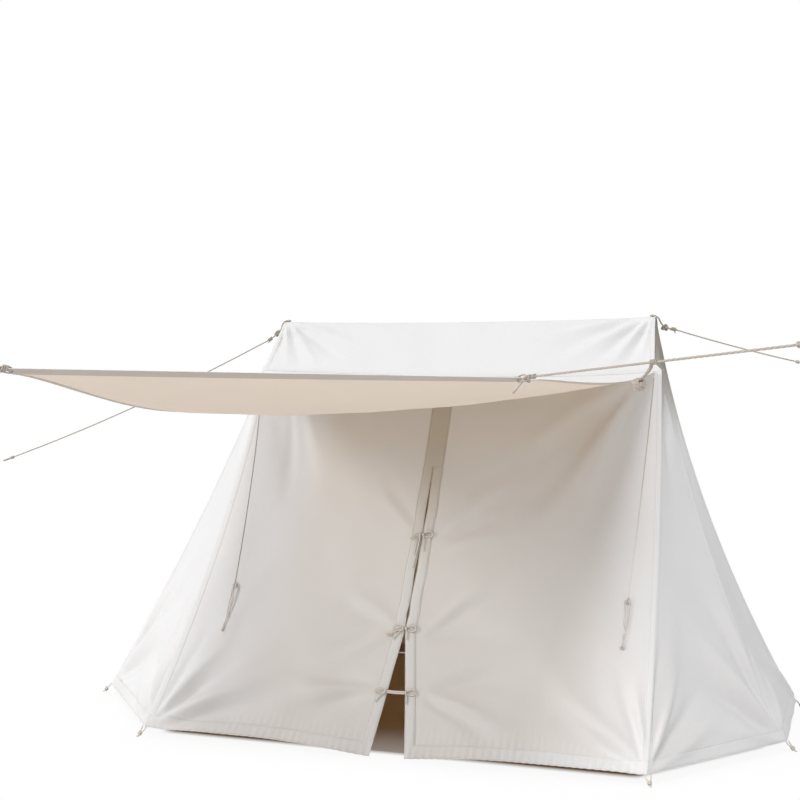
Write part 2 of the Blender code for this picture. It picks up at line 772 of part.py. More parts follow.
def rod(start, end, radius, name, surface, parent=tent_frame):
    """A round bar between two points."""
    start, end = Vector(start), Vector(end)
    made = bmesh.new()
    bmesh.ops.create_cone(
        made,
        cap_ends=True,
        segments=ROUND_SEGMENTS,
        radius1=radius,
        radius2=radius,
        depth=(end - start).length,
    )
    mesh = bpy.data.meshes.new(name)
    made.to_mesh(mesh)
    made.free()
    made = add(mesh, name, surface, parent, smooth=True)
    made.location = (start + end) / 2 - PARENT_PLACES[parent.name]
    made.rotation_euler = Vector((0, 0, 1)).rotation_difference(end - start).to_euler()
    return made


def drill(target, start, end, radius):
    """Cuts a round hole through a piece."""
    tool = rod(start, end, radius, f"{target.name}_drill", STEEL)
    tent_parts.objects.unlink(tool)
    cutters.objects.link(tool)
    tool.hide_render = True
    tool.display_type = "WIRE"
    hole = target.modifiers.new("hole", "BOOLEAN")
    hole.operation = "DIFFERENCE"
    hole.solver = "EXACT"
    hole.object = tool


def tube(points, radius, name, surface=ROPE, parent=tent_frame, swell=None, closed=False):
    """A cord along points, thicker where swell says so."""
    curve = bpy.data.curves.new(name, "CURVE")
    curve.dimensions = "3D"
    curve.bevel_depth = radius
    curve.bevel_resolution = ROPE_RESOLUTION
    curve.use_fill_caps = not closed
    spline = curve.splines.new("POLY")
    spline.points.add(len(points) - 1)
    for number, point in enumerate(points):
        spline.points[number].co = (*point, 1.0)
        spline.points[number].radius = swell[number] if swell else 1.0
    spline.use_cyclic_u = closed
    return add(curve, name, surface, parent)


def unit(vector):
    return np.array(vector, dtype=float) / np.linalg.norm(vector)


def oval(start, along, across, length, width, count=20):
    """Points of an oval loop that starts at a point and reaches a length along."""
    points = []
    for number in range(count):
        angle = 2 * math.pi * number / count
        ahead = length * (1 - math.cos(angle)) / 2
        off = width / 2 * math.sin(angle) * (0.95 + 0.05 * -math.cos(angle))
        points.append(np.array(start) + unit(along) * ahead + unit(across) * off)
    return points


def smooth_line(route, spacing):
    """Points along a smooth curve through the points of a route."""
    route = [np.array(point, dtype=float) for point in route]
    ends = [2 * route[0] - route[1]] + route + [2 * route[-1] - route[-2]]
    points = [route[0]]
    for a, b, c, d in zip(ends, ends[1:], ends[2:], ends[3:]):
        count = max(1, round(float(np.linalg.norm(c - b)) / spacing))
        for number in range(1, count + 1):
            u = number / count
            points.append(
                0.5
                * (
                    2 * b
                    + (c - a) * u
                    + (2 * a - 5 * b + 4 * c - d) * u**2
                    + (3 * b - a - 3 * c + d) * u**3
                )
            )
    return points


# Poles: two uprights with spiked caps, and a ridge pole in two halves joined by a sleeve.
def build_poles():
    spike_x = {side: RIDGE_END[side] - side * SPIKE_INSET for side in (-1, 1)}
    middle = (spike_x[-1] + spike_x[1]) / 2
    plate_top = POLE_HEIGHT - RIDGE_POLE_RADIUS - SEAM_GAP
    upright_top = plate_top - CAP_PLATE - SEAM_GAP
    cap_inner = UPRIGHT_RADIUS + SEAM_GAP
    cap_outer = cap_inner + CAP_WALL
    spike_top = RIDGE_HEIGHT + SPIKE_ABOVE_RIDGE
    for side, word in ((-1, "left"), (1, "right")):
        x = spike_x[side]
        bevel = UPRIGHT_FOOT_BEVEL
        turned(
            (
                (0.0, upright_top),
                (UPRIGHT_RADIUS, upright_top),
                (UPRIGHT_RADIUS, bevel),
                (UPRIGHT_RADIUS - bevel, 0.0),
                (0.0, 0.0),
            ),
            f"{word}_upright",
            WOOD,
            (x, RIDGE_BACK, 0.0),
        )
        turned(
            (
                (0.0, spike_top),
                (SPIKE_RADIUS * 0.6, spike_top),
                (SPIKE_RADIUS, spike_top - SPIKE_RADIUS),
                (SPIKE_RADIUS, plate_top),
                (cap_outer, plate_top),
                (cap_outer, plate_top - CAP_PLATE - CAP_SKIRT),
                (cap_inner, plate_top - CAP_PLATE - CAP_SKIRT),
                (cap_inner, plate_top - CAP_PLATE),
                (0.0, plate_top - CAP_PLATE),
            ),
            f"{word}_spike_cap",
            STEEL,
            (x, RIDGE_BACK, 0.0),
        )
        half = rod(
            (x + side * POLE_BEYOND_SPIKE, RIDGE_BACK, POLE_HEIGHT),
            (middle + side * POLE_END_GAP / 2, RIDGE_BACK, POLE_HEIGHT),
            RIDGE_POLE_RADIUS,
            f"ridge_pole_{word}",
            WOOD,
        )
        reach = RIDGE_POLE_RADIUS * 1.5
        drill(
            half,
            (x, RIDGE_BACK, POLE_HEIGHT - reach),
            (x, RIDGE_BACK, POLE_HEIGHT + reach),
            SPIKE_HOLE_RADIUS,
        )
    bore = RIDGE_POLE_RADIUS + SEAM_GAP
    shell_radius = bore + SLEEVE_WALL
    half = SLEEVE_LENGTH / 2
    turned(
        ((shell_radius, half), (shell_radius, -half), (bore, -half), (bore, half)),
        "ridge_sleeve",
        STEEL,
        (middle, RIDGE_BACK, POLE_HEIGHT),
        axis=(1, 0, 0),
        closed=True,
    )
    return spike_x


# Ridge ends: a patch over the crest with an eyelet round the spike.
def build_ridge_ends(spike_x, roof, back):
    patch_rows_front = ROOF_ROWS[-5:]
    patch_rows_back = FULL_ROWS[-5:-1]
    for side, word in ((-1, "left"), (1, "right")):
        x = spike_x[side]
        for panel in (roof, back):
            drill(
                panel,
                (x, RIDGE_BACK, POLE_HEIGHT + RIDGE_POLE_RADIUS + CANVAS),
                (x, RIDGE_BACK, RIDGE_HEIGHT + RIDGE_POLE_RADIUS),
                EYELET_HOLE_RADIUS,
            )
        places = crest_places(1)[:3] if side < 0 else crest_places(1)[-3:]
        outer, inner = [], []
        for surface, ts in ((front_roof, patch_rows_front), (back_surface, patch_rows_back[::-1])):
            for t in ts:
                normals = [facing(surface, s, t) for s in places]
                points = [surface(s, t) for s in places]
                inner.append([p + n * LAID_GAP for p, n in zip(points, normals)])
                high = LAID_GAP + PLACKET_CLOTH
                outer.append([p + n * high for p, n in zip(points, normals)])
        patch = add(shell(np.array(outer), np.array(inner)), f"{word}_ridge_patch", CANVAS_CLOTH)
        drill(
            patch,
            (x, RIDGE_BACK, RIDGE_HEIGHT - CANVAS),
            (x, RIDGE_BACK, RIDGE_HEIGHT + RIDGE_POLE_RADIUS),
            EYELET_HOLE_RADIUS,
        )
        crown = ridge_line(x) + LAID_GAP + PLACKET_CLOTH + SEAM_GAP
        eyelet(f"{word}_ridge_eyelet", (x, RIDGE_BACK, crown), (0, 0, 1), RIDGE_EYELET_DEPTH)


def eyelet(name, place, axis, depth, parent=tent_frame):
    """A flanged ring; place is the under side of its top flange and depth its grip."""
    outer = EYELET_HOLE_RADIUS - SEAM_GAP
    bore = outer - EYELET_WALL
    flange = EYELET_HOLE_RADIUS + EYELET_FLANGE
    thick = EYELET_FLANGE_HEIGHT
    turned(
        (
            (bore, thick),
            (flange, thick),
            (flange, 0.0),
            (outer, 0.0),
            (outer, -depth),
            (flange, -depth),
            (flange, -depth - thick),
            (bore, -depth - thick),
        ),
        name,
        BRASS,
        place,
        axis,
        parent,
        closed=True,
        segments=EYELET_SEGMENTS,
    )


# Peg loops: one at each base corner, reaching out and down to the ground.
def corner_outward(side, depth):
    """Level direction away from the tent that halves the angle of a base corner."""
    here = base_corner(side, depth)
    before = base_corner(side, depth - 1) if depth > 0 else base_corner(-side, 0)
    after = base_corner(side, depth + 1) if depth < 3 else base_corner(-side, 3)
    return -unit(unit(before - here) + unit(after - here))


def build_peg_loops():
    corners = ("front_corner", "front_end", "rear_end", "rear_corner")
    for side, word in ((-1, "left"), (1, "right")):
        for depth, corner in enumerate(corners):
            out = corner_outward(side, depth)
            start = base_corner(side, depth) + out * (PEG_LOOP_RADIUS + 2 * SEAM_GAP)
            drop = start[2] - PEG_LOOP_RADIUS
            along = out * PEG_LOOP_REACH - np.array((0.0, 0.0, drop))
            across = (-out[1], out[0], 0.0)
            length = math.hypot(PEG_LOOP_REACH, drop)
            points = oval(start, along, across, length, PEG_LOOP_WIDTH, 16)
            tube(points, PEG_LOOP_RADIUS, f"{word}_{corner}_loop", closed=True)


# Tie-backs: a doubled cord on each wall that holds a rolled flap.
def build_tie_backs():
    for side, word in ((-1, "left"), (1, "right")):
        height = TIE_BACK_HEIGHT_LEFT if side < 0 else TIE_BACK_HEIGHT_RIGHT
        inset = TIE_BACK_INSET_LEFT if side < 0 else TIE_BACK_INSET_RIGHT
        seat = TIE_BACK_GAP_LEFT if side < 0 else TIE_BACK_GAP_RIGHT
        top = (height - HEM_LIFT) / CANVAS_RISE
        x = SEAMS[side][0](top)[0] - side * inset
        half = TIE_BACK_WIDTH / 2
        route = [(-half, share * TIE_BACK_LENGTH) for share in (1.0, 0.75, 0.5, 0.25, 0.06)]
        for angle in (-math.pi / 4, 0.0, math.pi / 4):
            route.append((half * math.sin(angle), -half * math.cos(angle)))
        route += [(half, share * TIE_BACK_LENGTH) for share in (0.06, 0.25, 0.5, 0.75, 0.94)]
        points = []
        for off, low in route:
            t = top - low / CANVAS_RISE
            points.append(in_front(share_across(x + off, t), t, TIE_CORD_RADIUS + seat))
        tube(points, TIE_CORD_RADIUS, f"{word}_tie_back")


# Door ties: three pairs of cords, each pair knotted over the slit.
def build_ties(hinges):
    stand = TIE_CORD_RADIUS * TIE_KNOT_SWELL + LAID_GAP * 2 + PLACKET_CLOTH
    knot_off = TIE_CORD_RADIUS * TIE_KNOT_SWELL + DOOR_SLIT / 4
    for number, height in enumerate(TIE_HEIGHTS, 1):
        t = (height - HEM_LIFT) / CANVAS_RISE
        edge = {side: front_wall(door_edge(side, t), t) for side in (-1, 1)}
        normal = facing(front_wall, door_edge(-1, t), t)
        up = np.array((0.0, 0.0, 1.0))
        down = -unit(up - normal * np.dot(up, normal))
        across = unit(np.cross(down, normal))
        if across[0] < 0:
            across = -across
        left = edge[-1] + normal * stand - across * knot_off
        route = [
            left - across * TIE_TAIL_REACH + down * 0.004,
            left - across * TIE_TAIL_REACH * 0.4,
            left,
            left - across * 0.001 + down * 0.014,
            left - across * 0.003 + down * TIE_TAIL_LENGTH * 0.5,
            left - across * 0.002 + down * TIE_TAIL_LENGTH,
        ]
        swell = (1.0, 1.0, TIE_KNOT_SWELL, 1.2, 1.0, 1.0)
        tube(route, TIE_CORD_RADIUS, f"left_tie_{number}", ROPE, hinges[-1], swell)

        right = edge[1] + normal * stand + across * knot_off
        half = TIE_LOOP_WIDTH / 2
        route = [
            right + across * 0.001 + down * TIE_TAIL_LENGTH * 0.8,
            right + across * 0.004 + down * TIE_TAIL_LENGTH * 0.4,
            right + across * 0.004 + down * 0.016,
            right + across * 0.001,
            right + across * TIE_LOOP_LENGTH * 0.4 - down * half,
            right + across * TIE_LOOP_LENGTH * 0.85 - down * half * 0.8,
            right + across * TIE_LOOP_LENGTH,
            right + across * TIE_LOOP_LENGTH * 0.85 + down * half * 0.8,
            right + across * TIE_LOOP_LENGTH * 0.45 + down * half,
        ]
        swell = (1.0, 1.0, 1.2, TIE_KNOT_SWELL, 1.0, 1.0, 1.0, 1.0, 1.0)
        reach = np.dot(right - left, across) - 2 * knot_off
        if reach > TIE_LOOP_WIDTH:
            over = left + across * (knot_off + TIE_BRIDGE_GAP)
            route = [over, (over + right) / 2 - down * 0.004] + route[3:]
            swell = (1.0, 1.0) + swell[3:]
        tube(route, TIE_CORD_RADIUS, f"right_tie_{number}", ROPE, hinges[1], swell)


# The awning: a sheet from the eave to two roped corners.
def awning_surface(s, t):
    back_x = (EAVE_END[-1] + AWNING_BACK_INSET_LEFT, EAVE_END[1] - AWNING_BACK_INSET_RIGHT)
    start = np.array((back_x[0] + (back_x[1] - back_x[0]) * s, 0.0, EAVE_HEIGHT))
    wall_share = (start[0] - EAVE_END[-1]) / (EAVE_END[1] - EAVE_END[-1])
    start[1] = EAVE_BACK - EAVE_BOW * bow(wall_share) - AWNING_BACK_GAP
    start[1] -= AWNING_END_GAP * (1 - bow(wall_share))
    front_x = AWNING_FRONT_SHIFT + AWNING_FRONT_WIDTH * (s - 0.5)
    front_z = AWNING_LEFT_HEIGHT + (AWNING_RIGHT_HEIGHT - AWNING_LEFT_HEIGHT) * s
    end = np.array((front_x, AWNING_FRONT, front_z))
    sag = AWNING_LEFT_SIDE_SAG + (AWNING_RIGHT_SIDE_SAG - AWNING_LEFT_SIDE_SAG) * s
    sag = (sag + AWNING_BELLY * bow(s)) * bow(t) * (1 - AWNING_SAG_LEAN * (2 * t - 1))
    point = start + (end - start) * t
    fold = fold_height(AWNING_FOLDS, s, t, lambda _: AWNING_FRONT_WIDTH, AWNING_REACH)
    point[2] += fold * edge_fade(s) * edge_fade(t) - sag
    return point


def awning_up(s, t):
    across, along = slopes(awning_surface, s, t)
    normal = np.cross(across, along)
    normal /= np.linalg.norm(normal)
    return normal if normal[2] > 0 else -normal


def awning_sheet(rows, high, low):
    upper = [[awning_surface(s, t) + awning_up(s, t) * high for s in places] for t, places in rows]
    under = [[awning_surface(s, t) + awning_up(s, t) * low for s in places] for t, places in rows]
    return np.array(upper), np.array(under)


def build_awning(hinge):
    margin = AWNING_HEM_WIDTH / AWNING_FRONT_WIDTH
    hem = 1 - AWNING_HEM_WIDTH / AWNING_REACH
    places = [0.0] + spaced(margin, 1 - margin, 14) + [1.0]
    rows = [(t, places) for t in spaced(0.0, hem, 12) + [1.0]]
    outer, inner = awning_sheet(rows, 0.0, -CANVAS)
    inner[0, :, 1] = outer[0, :, 1]
    sheet = add(shell(outer, inner), "awning", CANVAS_CLOTH, hinge)

    low = -CANVAS - LAID_GAP
    outer, inner = awning_sheet(rows[-2:], low, low - AWNING_HEM_CLOTH)
    band = add(shell(outer, inner), "awning_hem", HEM_CLOTH, hinge)

    for side, word in ((-1, "left"), (1, "right")):
        cells = [(0.0, 1.0), (margin, 1.0), (0.0, hem), (margin, hem)]
        if side > 0:
            cells = [(1 - s, t) for s, t in cells]
        corner, beside, behind, _ = [awning_surface(s, t) for s, t in cells]
        across, back = unit(beside - corner), unit(behind - corner)
        normal = unit(np.cross(across, back))
        normal = normal if normal[2] > 0 else -normal
        place = corner + across * EYELET_INSET + back * EYELET_INSET
        grip = CANVAS + LAID_GAP + AWNING_HEM_CLOTH
        for piece in (sheet, band):
            drill(piece, place + normal * grip, place - normal * grip * 2, EYELET_HOLE_RADIUS)
        top = place + normal * LAID_GAP
        depth = grip + 2 * LAID_GAP
        eyelet(f"awning_{word}_eyelet", top, normal, depth, hinge)

        out = np.array((side * math.cos(AWNING_ROPE_TURN), -math.sin(AWNING_ROPE_TURN), 0.0))
        build_awning_rope(word, side, corner, place, normal, out, hinge)


def build_awning_rope(word, side, corner, hole, normal, out, hinge):
    """A loop through the corner eyelet, the rope it holds and the rope's far loop."""
    level = unit(corner + out * 0.01 - hole)
    level = unit(level - normal * np.dot(level, normal))
    reach = np.dot(corner - hole, level) + KNOT_LOOP_ROOM
    depth = CANVAS + LAID_GAP + AWNING_HEM_CLOTH
    centre = hole + level * reach / 2 - normal * depth / 2
    half_long, half_tall = reach / 2, depth / 2 + KNOT_LOOP_ROOM
    points = []
    count = 16
    for number in range(count):
        angle = 2 * math.pi * number / count
        ahead = -math.cos(angle)
        ahead = math.copysign(abs(ahead) ** 0.7, ahead) * half_long
        points.append(centre + level * ahead + normal * math.sin(angle) * half_tall)
    tube(points, KNOT_CORD_RADIUS, f"awning_{word}_knot", ROPE, hinge, closed=True)

    tip = centre + level * (half_long + KNOT_CORD_RADIUS + KNOT_SEAT)
    length = AWNING_ROPE_LENGTH_RIGHT if side > 0 else AWNING_ROPE_LENGTH_LEFT
    rise = AWNING_ROPE_RISE * length
    end = tip + out * length + np.array((0.0, 0.0, rise))
    route = [tip + (end - tip) * share for share in spaced(0.0, 1.0, 8)]
    points = smooth_line(route, 0.035 if side > 0 else 0.025)
    tube(points, AWNING_ROPE_RADIUS, f"awning_rope_{word}", ROPE, hinge)
    rope_loop(f"awning_rope_{word}_end", end, end - tip, AWNING_ROPE_RADIUS, hinge)
    if side > 0:
        place = tip + (end - tip) * HITCH_SHARE
        radius = AWNING_ROPE_RADIUS
        start = place - np.array((0.0, 0.0, radius * 1.1 + SEAM_GAP))
        points = [start - np.array((0.0, 0.0, HITCH_DROP * share)) for share in HITCH_PROFILE]
        tube(points, radius, "awning_rope_hitch", ROPE, hinge, list(HITCH_PROFILE.values()))


def rope_loop(name, tip, along, radius, parent=tent_frame):
    """The loop in which a rope ends, just past its tip."""
    along = unit(along)
    across = unit(np.cross(along, (0.0, 0.0, 1.0)))
    start = np.array(tip) + along * (radius + SEAM_GAP)
    points = oval(start, along, across, ROPE_END_LOOP, ROPE_END_LOOP * 0.45, 16)
    tube(points, radius, name, ROPE, parent, closed=True)


# Ridge ropes: each from a loop round a spike, down and away to one side.
def build_ridge_ropes(spike_x):
    for side, word in ((-1, "left"), (1, "right")):
        slope, length, sag = RIDGE_ROPES[side]
        seat = ridge_line(spike_x[side]) + LAID_GAP + PLACKET_CLOTH + SEAM_GAP
        seat += EYELET_FLANGE_HEIGHT + SEAM_GAP + GUY_ROPE_RADIUS
        ring = SPIKE_RADIUS + GUY_ROPE_RADIUS + RIDGE_KNOT_SLACK
        centre = np.array((spike_x[side], RIDGE_BACK, seat))
        out = np.array((side, 0.0, 0.0))
        start = centre - out * ring
        reach = ring + SPIKE_INSET + RIDGE_KNOT_BEYOND
        points = []
        for point in oval(start, out, (0, 1, 0), reach, RIDGE_KNOT_WIDTH, 16):
            beyond = max(0.0, np.dot(point - centre, out) - SPIKE_INSET - GUY_ROPE_RADIUS)
            points.append(point - np.array((0.0, 0.0, beyond * RIDGE_KNOT_DROP)))
        tube(points, GUY_ROPE_RADIUS, f"{word}_ridge_knot", closed=True)

        low = max(points, key=lambda point: np.dot(point, out))
        down = unit(out * math.cos(slope) - np.array((0.0, 0.0, math.sin(slope))))
        tip = low + down * (GUY_ROPE_RADIUS * 1.05 + SEAM_GAP)
        end = tip + down * length
        route = []
        for share in spaced(0.0, 1.0, 8):
            hang = np.array((0.0, 0.0, sag * bow(share)))
            route.append(tip + (end - tip) * share - hang)
        tube(smooth_line(route, length / 40), GUY_ROPE_RADIUS, f"ridge_rope_{word}")
        last = route[-1] - route[-2]
        rope_loop(f"ridge_rope_{word}_end", end, last, GUY_ROPE_RADIUS)


def build():
    hinges = {}
    for side, word in ((-1, "left"), (1, "right")):
        hinges[side] = empty(f"{word}_flap_hinge", hinge_points(side)[0], tent_frame)
    awning_y = EAVE_BACK - EAVE_BOW - AWNING_BACK_GAP / 2
    awning_hinge = empty("awning_hinge", (RIDGE_SHIFT, awning_y, EAVE_HEIGHT), tent_frame)
    roof, back = build_canvas()
    build_walls()
    build_flaps(hinges)
    build_upper_placket()
    spike_x = build_poles()
    build_ridge_ends(spike_x, roof, back)
    build_peg_loops()
    build_tie_backs()
    build_ties(hinges)
    build_awning(awning_hinge)
    build_ridge_ropes(spike_x)


build()
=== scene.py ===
import math

import bpy
import numpy as np
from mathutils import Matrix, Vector


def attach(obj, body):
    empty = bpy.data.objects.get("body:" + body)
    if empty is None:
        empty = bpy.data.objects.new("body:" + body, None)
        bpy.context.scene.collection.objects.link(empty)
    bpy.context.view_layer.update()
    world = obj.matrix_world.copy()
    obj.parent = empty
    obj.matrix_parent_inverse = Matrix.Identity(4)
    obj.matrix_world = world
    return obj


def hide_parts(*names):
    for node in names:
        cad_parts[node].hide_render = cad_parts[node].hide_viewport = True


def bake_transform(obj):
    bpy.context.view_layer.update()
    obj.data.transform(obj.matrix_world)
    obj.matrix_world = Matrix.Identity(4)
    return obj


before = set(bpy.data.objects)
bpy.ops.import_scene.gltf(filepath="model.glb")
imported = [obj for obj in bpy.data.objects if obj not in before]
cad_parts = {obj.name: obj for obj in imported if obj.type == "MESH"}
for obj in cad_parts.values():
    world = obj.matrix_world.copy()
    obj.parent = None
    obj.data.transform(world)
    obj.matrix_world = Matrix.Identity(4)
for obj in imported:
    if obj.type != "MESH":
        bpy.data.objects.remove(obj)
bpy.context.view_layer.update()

scene = bpy.context.scene

# Sizes of the tent, as its solids have them, in metres; side -1 is the left, side 1 the right.
FRONT_EDGE = 2.357
END_REACH = {-1: 0.614, 1: 0.516}
BELL_DEPTH = 0.719
END_EDGE = 0.812
HEM_LIFT = 0.052
RIDGE_LENGTH = 2.001
RIDGE_HEIGHT = 1.998
RIDGE_SHIFT = 0.0475
RIDGE_SAG = 0.014
CREST_RADIUS = 0.0248
CREST_STRIP = 0.03
SPIKE_INSET = 0.018
EAVE_HEIGHT = 1.7344
EAVE_BACK = 0.8976
EAVE_SPREAD = {-1: 0.028, 1: 0.061}
EAVE_BOW = 0.054
EAVE_DIP = 0.034
ROOF_TUCK = 0.034
BACK_HEM_DROOP = 0.048
FRONT_SEAM_SAG = 0.098
FRONT_SEAM_TUCK = {-1: 0.015, 1: 0.0}
WALL_MIDDLE_SAG = 0.071
END_SEAM_SAG = {-1: 0.045, 1: 0.092}
BACK_SEAM_SAG = 0.06
BACK_MIDDLE_SAG = 0.02
GORE_HOLLOW = 0.012
DOOR_HEIGHT = 1.27
DOOR_SPLIT_HEIGHT = 0.53
DOOR_SPREAD = {-1: 0.052, 1: 0.11}
DOOR_HEM_DROOP = 0.036
DOOR_DROOP_REACH = 0.34
CREASE_FOOT = 0.012
PLACKET_WIDTH = 0.05
PLACKET_MARGIN = 0.006
AWNING_BACK_INSET = {-1: 0.015, 1: 0.032}
AWNING_FRONT_WIDTH = 1.934
AWNING_FRONT_SHIFT = 0.0478
AWNING_REACH = 2.367
AWNING_HEIGHT = {-1: 1.7355, 1: 1.7029}
AWNING_BELLY = 0.051
AWNING_SIDE_SAG = {-1: 0.181, 1: 0.038}
AWNING_SAG_LEAN = 0.47
AWNING_BACK_GAP = 0.0012
AWNING_END_GAP = 0.0032
AWNING_HEM = 0.05
AWNING_HEM_HANG = 0.012
HEM_WIDTH = 0.05
CLOTH = 0.0016

SIDES = ((-1, "left"), (1, "right"))
HALF = FRONT_EDGE / 2
DEPTH = 2 * BELL_DEPTH + END_EDGE
RIDGE_BACK = DEPTH / 2
RIDGE_END = {side: RIDGE_SHIFT + side * RIDGE_LENGTH / 2 for side in (-1, 1)}
EAVE_END = {side: RIDGE_END[side] + side * EAVE_SPREAD[side] for side in (-1, 1)}
POLE_HEIGHT = RIDGE_HEIGHT - RIDGE_SAG - CREST_RADIUS
RISE = RIDGE_HEIGHT - HEM_LIFT
EAVE_SHARE = (EAVE_HEIGHT - HEM_LIFT) / RISE
DOOR_SHARE = (DOOR_HEIGHT - HEM_LIFT) / RISE
CREST_SHARE = 1 - CREST_STRIP / RISE
CENTRE = np.array((-0.049, 0.4164, 0.0))
INSIDE = np.array((RIDGE_SHIFT, RIDGE_BACK, 0.6))
UP = np.array((0.0, 0.0, 1.0))

# Sizes of the meshes: fine and coarse cloth, bands, and the pitch of the stitches.
FINE = 0.009
COARSE = 0.014
BAND_STEP = 0.012
TAPE_STEP = 0.014
STITCH = 0.0055


def placed(name, data):
    made = bpy.data.objects.new(name, data)
    scene.collection.objects.link(made)
    return made


# Camera at the photograph's viewpoint, level, with the horizon a little above the middle.
camera = bpy.data.cameras.new("camera")
camera.lens = 61.04
camera.shift_y = -0.0314
camera.clip_end = 100.0
scene.camera = placed("camera", camera)
scene.camera.location = (2.1003, -6.0681, 1.7105)
scene.camera.rotation_euler = (math.radians(90), 0.0, math.radians(19.11))


# Shape of the canvas: each panel is a surface over s across it and t up it, both 0 to 1.
def bow(share):
    return 4 * share * (1 - share)


def edge_fade(share):
    return 1 - (1 - bow(share)) ** 4


def bell(off, half):
    return np.exp(-((off / half) ** 2))


def between(a, b, share):
    return a + (b - a) * share


def stack(*parts):
    return np.stack(np.broadcast_arrays(*parts), axis=-1)


def norm(v):
    v = np.asarray(v, float)
    return v / np.linalg.norm(v, axis=-1, keepdims=True)


def facing(normal, toward):
    """The normals, turned round where they point away from toward."""
    away = np.sum(normal * toward, axis=-1) < 0
    return np.where(away[..., None], -normal, normal)


def base_corner(side, depth):
    x = side * (HALF + (END_REACH[side] if depth in (1, 2) else 0))
    return np.array((x, (0, BELL_DEPTH, BELL_DEPTH + END_EDGE, DEPTH)[depth], HEM_LIFT))


def eave_corner(side):
    return np.array((EAVE_END[side], EAVE_BACK, EAVE_HEIGHT))


def ridge_line(x):
    share = np.clip((x - RIDGE_END[-1]) / RIDGE_LENGTH, 0, 1)
    return RIDGE_HEIGHT - RIDGE_SAG * bow(share)


def eave_dip(s):
    """The eave seam hangs below the line between its corners, most of all towards the right."""
    return EAVE_DIP * np.sin(math.pi * np.clip(s, 0, 1) ** 1.6) ** 0.55


def to_ridge(foot, top_x, t, low):
    """The course of cloth from a foot, at t = low, to the crest, and then round the ridge pole."""
    below = np.minimum((t - low) / (CREST_SHARE - low), 1.0)
    above = np.maximum((t - CREST_SHARE) / (1 - CREST_SHARE), 0.0)
    radius = ridge_line(top_x) - POLE_HEIGHT
    y, z = foot[..., 1] - RIDGE_BACK, foot[..., 2] - POLE_HEIGHT
    lean = np.arctan2(np.abs(y), z) - np.arccos(radius / np.hypot(y, z))
    angle = lean * (1 - above)
    y = y * (1 - below) + np.sign(y) * radius * np.sin(angle) * below
    z = z * (1 - below) + radius * np.cos(angle) * below
    x = between(foot[..., 0], top_x, (t - low) / (1 - low))
    return stack(x, RIDGE_BACK + y, POLE_HEIGHT + z)


def roof_tuck(t):
    """How far the right edge of the roof is drawn in between its eave corner and the ridge."""
    share = (t - EAVE_SHARE) / (1 - EAVE_SHARE)
    return ROOF_TUCK * np.minimum(share / 0.12, 1.0) * (1 - share) ** 0.8


def front_seam(side, t):
    eave = eave_corner(side)
    share = np.minimum(t / EAVE_SHARE, 1.0)[..., None]
    hang = np.array((-side * FRONT_SEAM_TUCK[side], FRONT_SEAM_SAG, 0.0))
    low = between(base_corner(side, 0), eave, share) + hang * bow(share)
    up = np.maximum(t, EAVE_SHARE)
    roof = to_ridge(eave, RIDGE_END[side], up, EAVE_SHARE)
    if side > 0:
        roof[..., 0] -= roof_tuck(up)
    return np.where((t <= EAVE_SHARE)[..., None], low, roof)


def plain_seam(side, depth, t):
    foot = base_corner(side, depth)
    inward = np.array((INSIDE[0] - foot[0], INSIDE[1] - foot[1], 0.0))
    inward *= (BACK_SEAM_SAG if depth == 3 else END_SEAM_SAG[side]) / np.linalg.norm(inward)
    if depth == 3:
        hang = bow(np.minimum(t / CREST_SHARE, 1.0))
        return to_ridge(foot, RIDGE_END[side], t, 0.0) + inward * hang[..., None]
    top = np.array((RIDGE_END[side], RIDGE_BACK, RIDGE_HEIGHT))
    return between(foot, top, t[..., None]) + inward * bow(t)[..., None]


def seam(side, depth, t):
    t = np.asarray(t, float)
    return front_seam(side, t) if depth == 0 else plain_seam(side, depth, t)


def fixed(width):
    return lambda _: width


def gore_width(side, first):
    def width(t):
        span = seam(side, first + 1, t) - seam(side, first, t)
        return np.linalg.norm(span, axis=-1) + 1e-6

    return width


# Main folds: s and t of the two ends, then half width and height in millimetres.
WALL_FOLDS = (
    (0.01, 0.02, 0.2, 0.52, 70, 16), (0.02, 0.01, 0.33, 0.3, 70, 14),
    (0.03, 0.8, 0.24, 0.42, 80, -16), (0.99, 0.02, 0.82, 0.52, 70, 17),
    (0.98, 0.01, 0.69, 0.3, 70, 15), (0.965, 0.82, 0.72, 0.42, 80, 18),
    (0.95, 0.8, 0.84, 0.34, 70, -14),
)
ROOF_FOLDS = (
    (0.04, 0.975, 0.18, 0.885, 60, 9), (0.08, 0.975, 0.42, 0.895, 60, -7),
    (0.96, 0.975, 0.8, 0.885, 60, 10), (0.92, 0.975, 0.58, 0.895, 60, -8),
)
GORE_FOLDS = (
    (0.06, 0.03, 0.42, 0.42, 60, 11), (0.94, 0.03, 0.62, 0.5, 60, 11),
    (0.5, 0.9, 0.48, 0.36, 60, -8),
)
BACK_FOLDS = (
    (0.02, 0.02, 0.22, 0.55, 90, 16), (0.98, 0.02, 0.78, 0.55, 90, 16),
    (0.04, 0.95, 0.3, 0.55, 90, -12), (0.96, 0.95, 0.7, 0.55, 90, -12),
)
AWNING_FOLDS = (
    (0.02, 0.98, 0.34, 0.5, 110, 16), (0.98, 0.98, 0.66, 0.5, 110, 14),
    (0.02, 0.02, 0.36, 0.4, 110, -12),
)


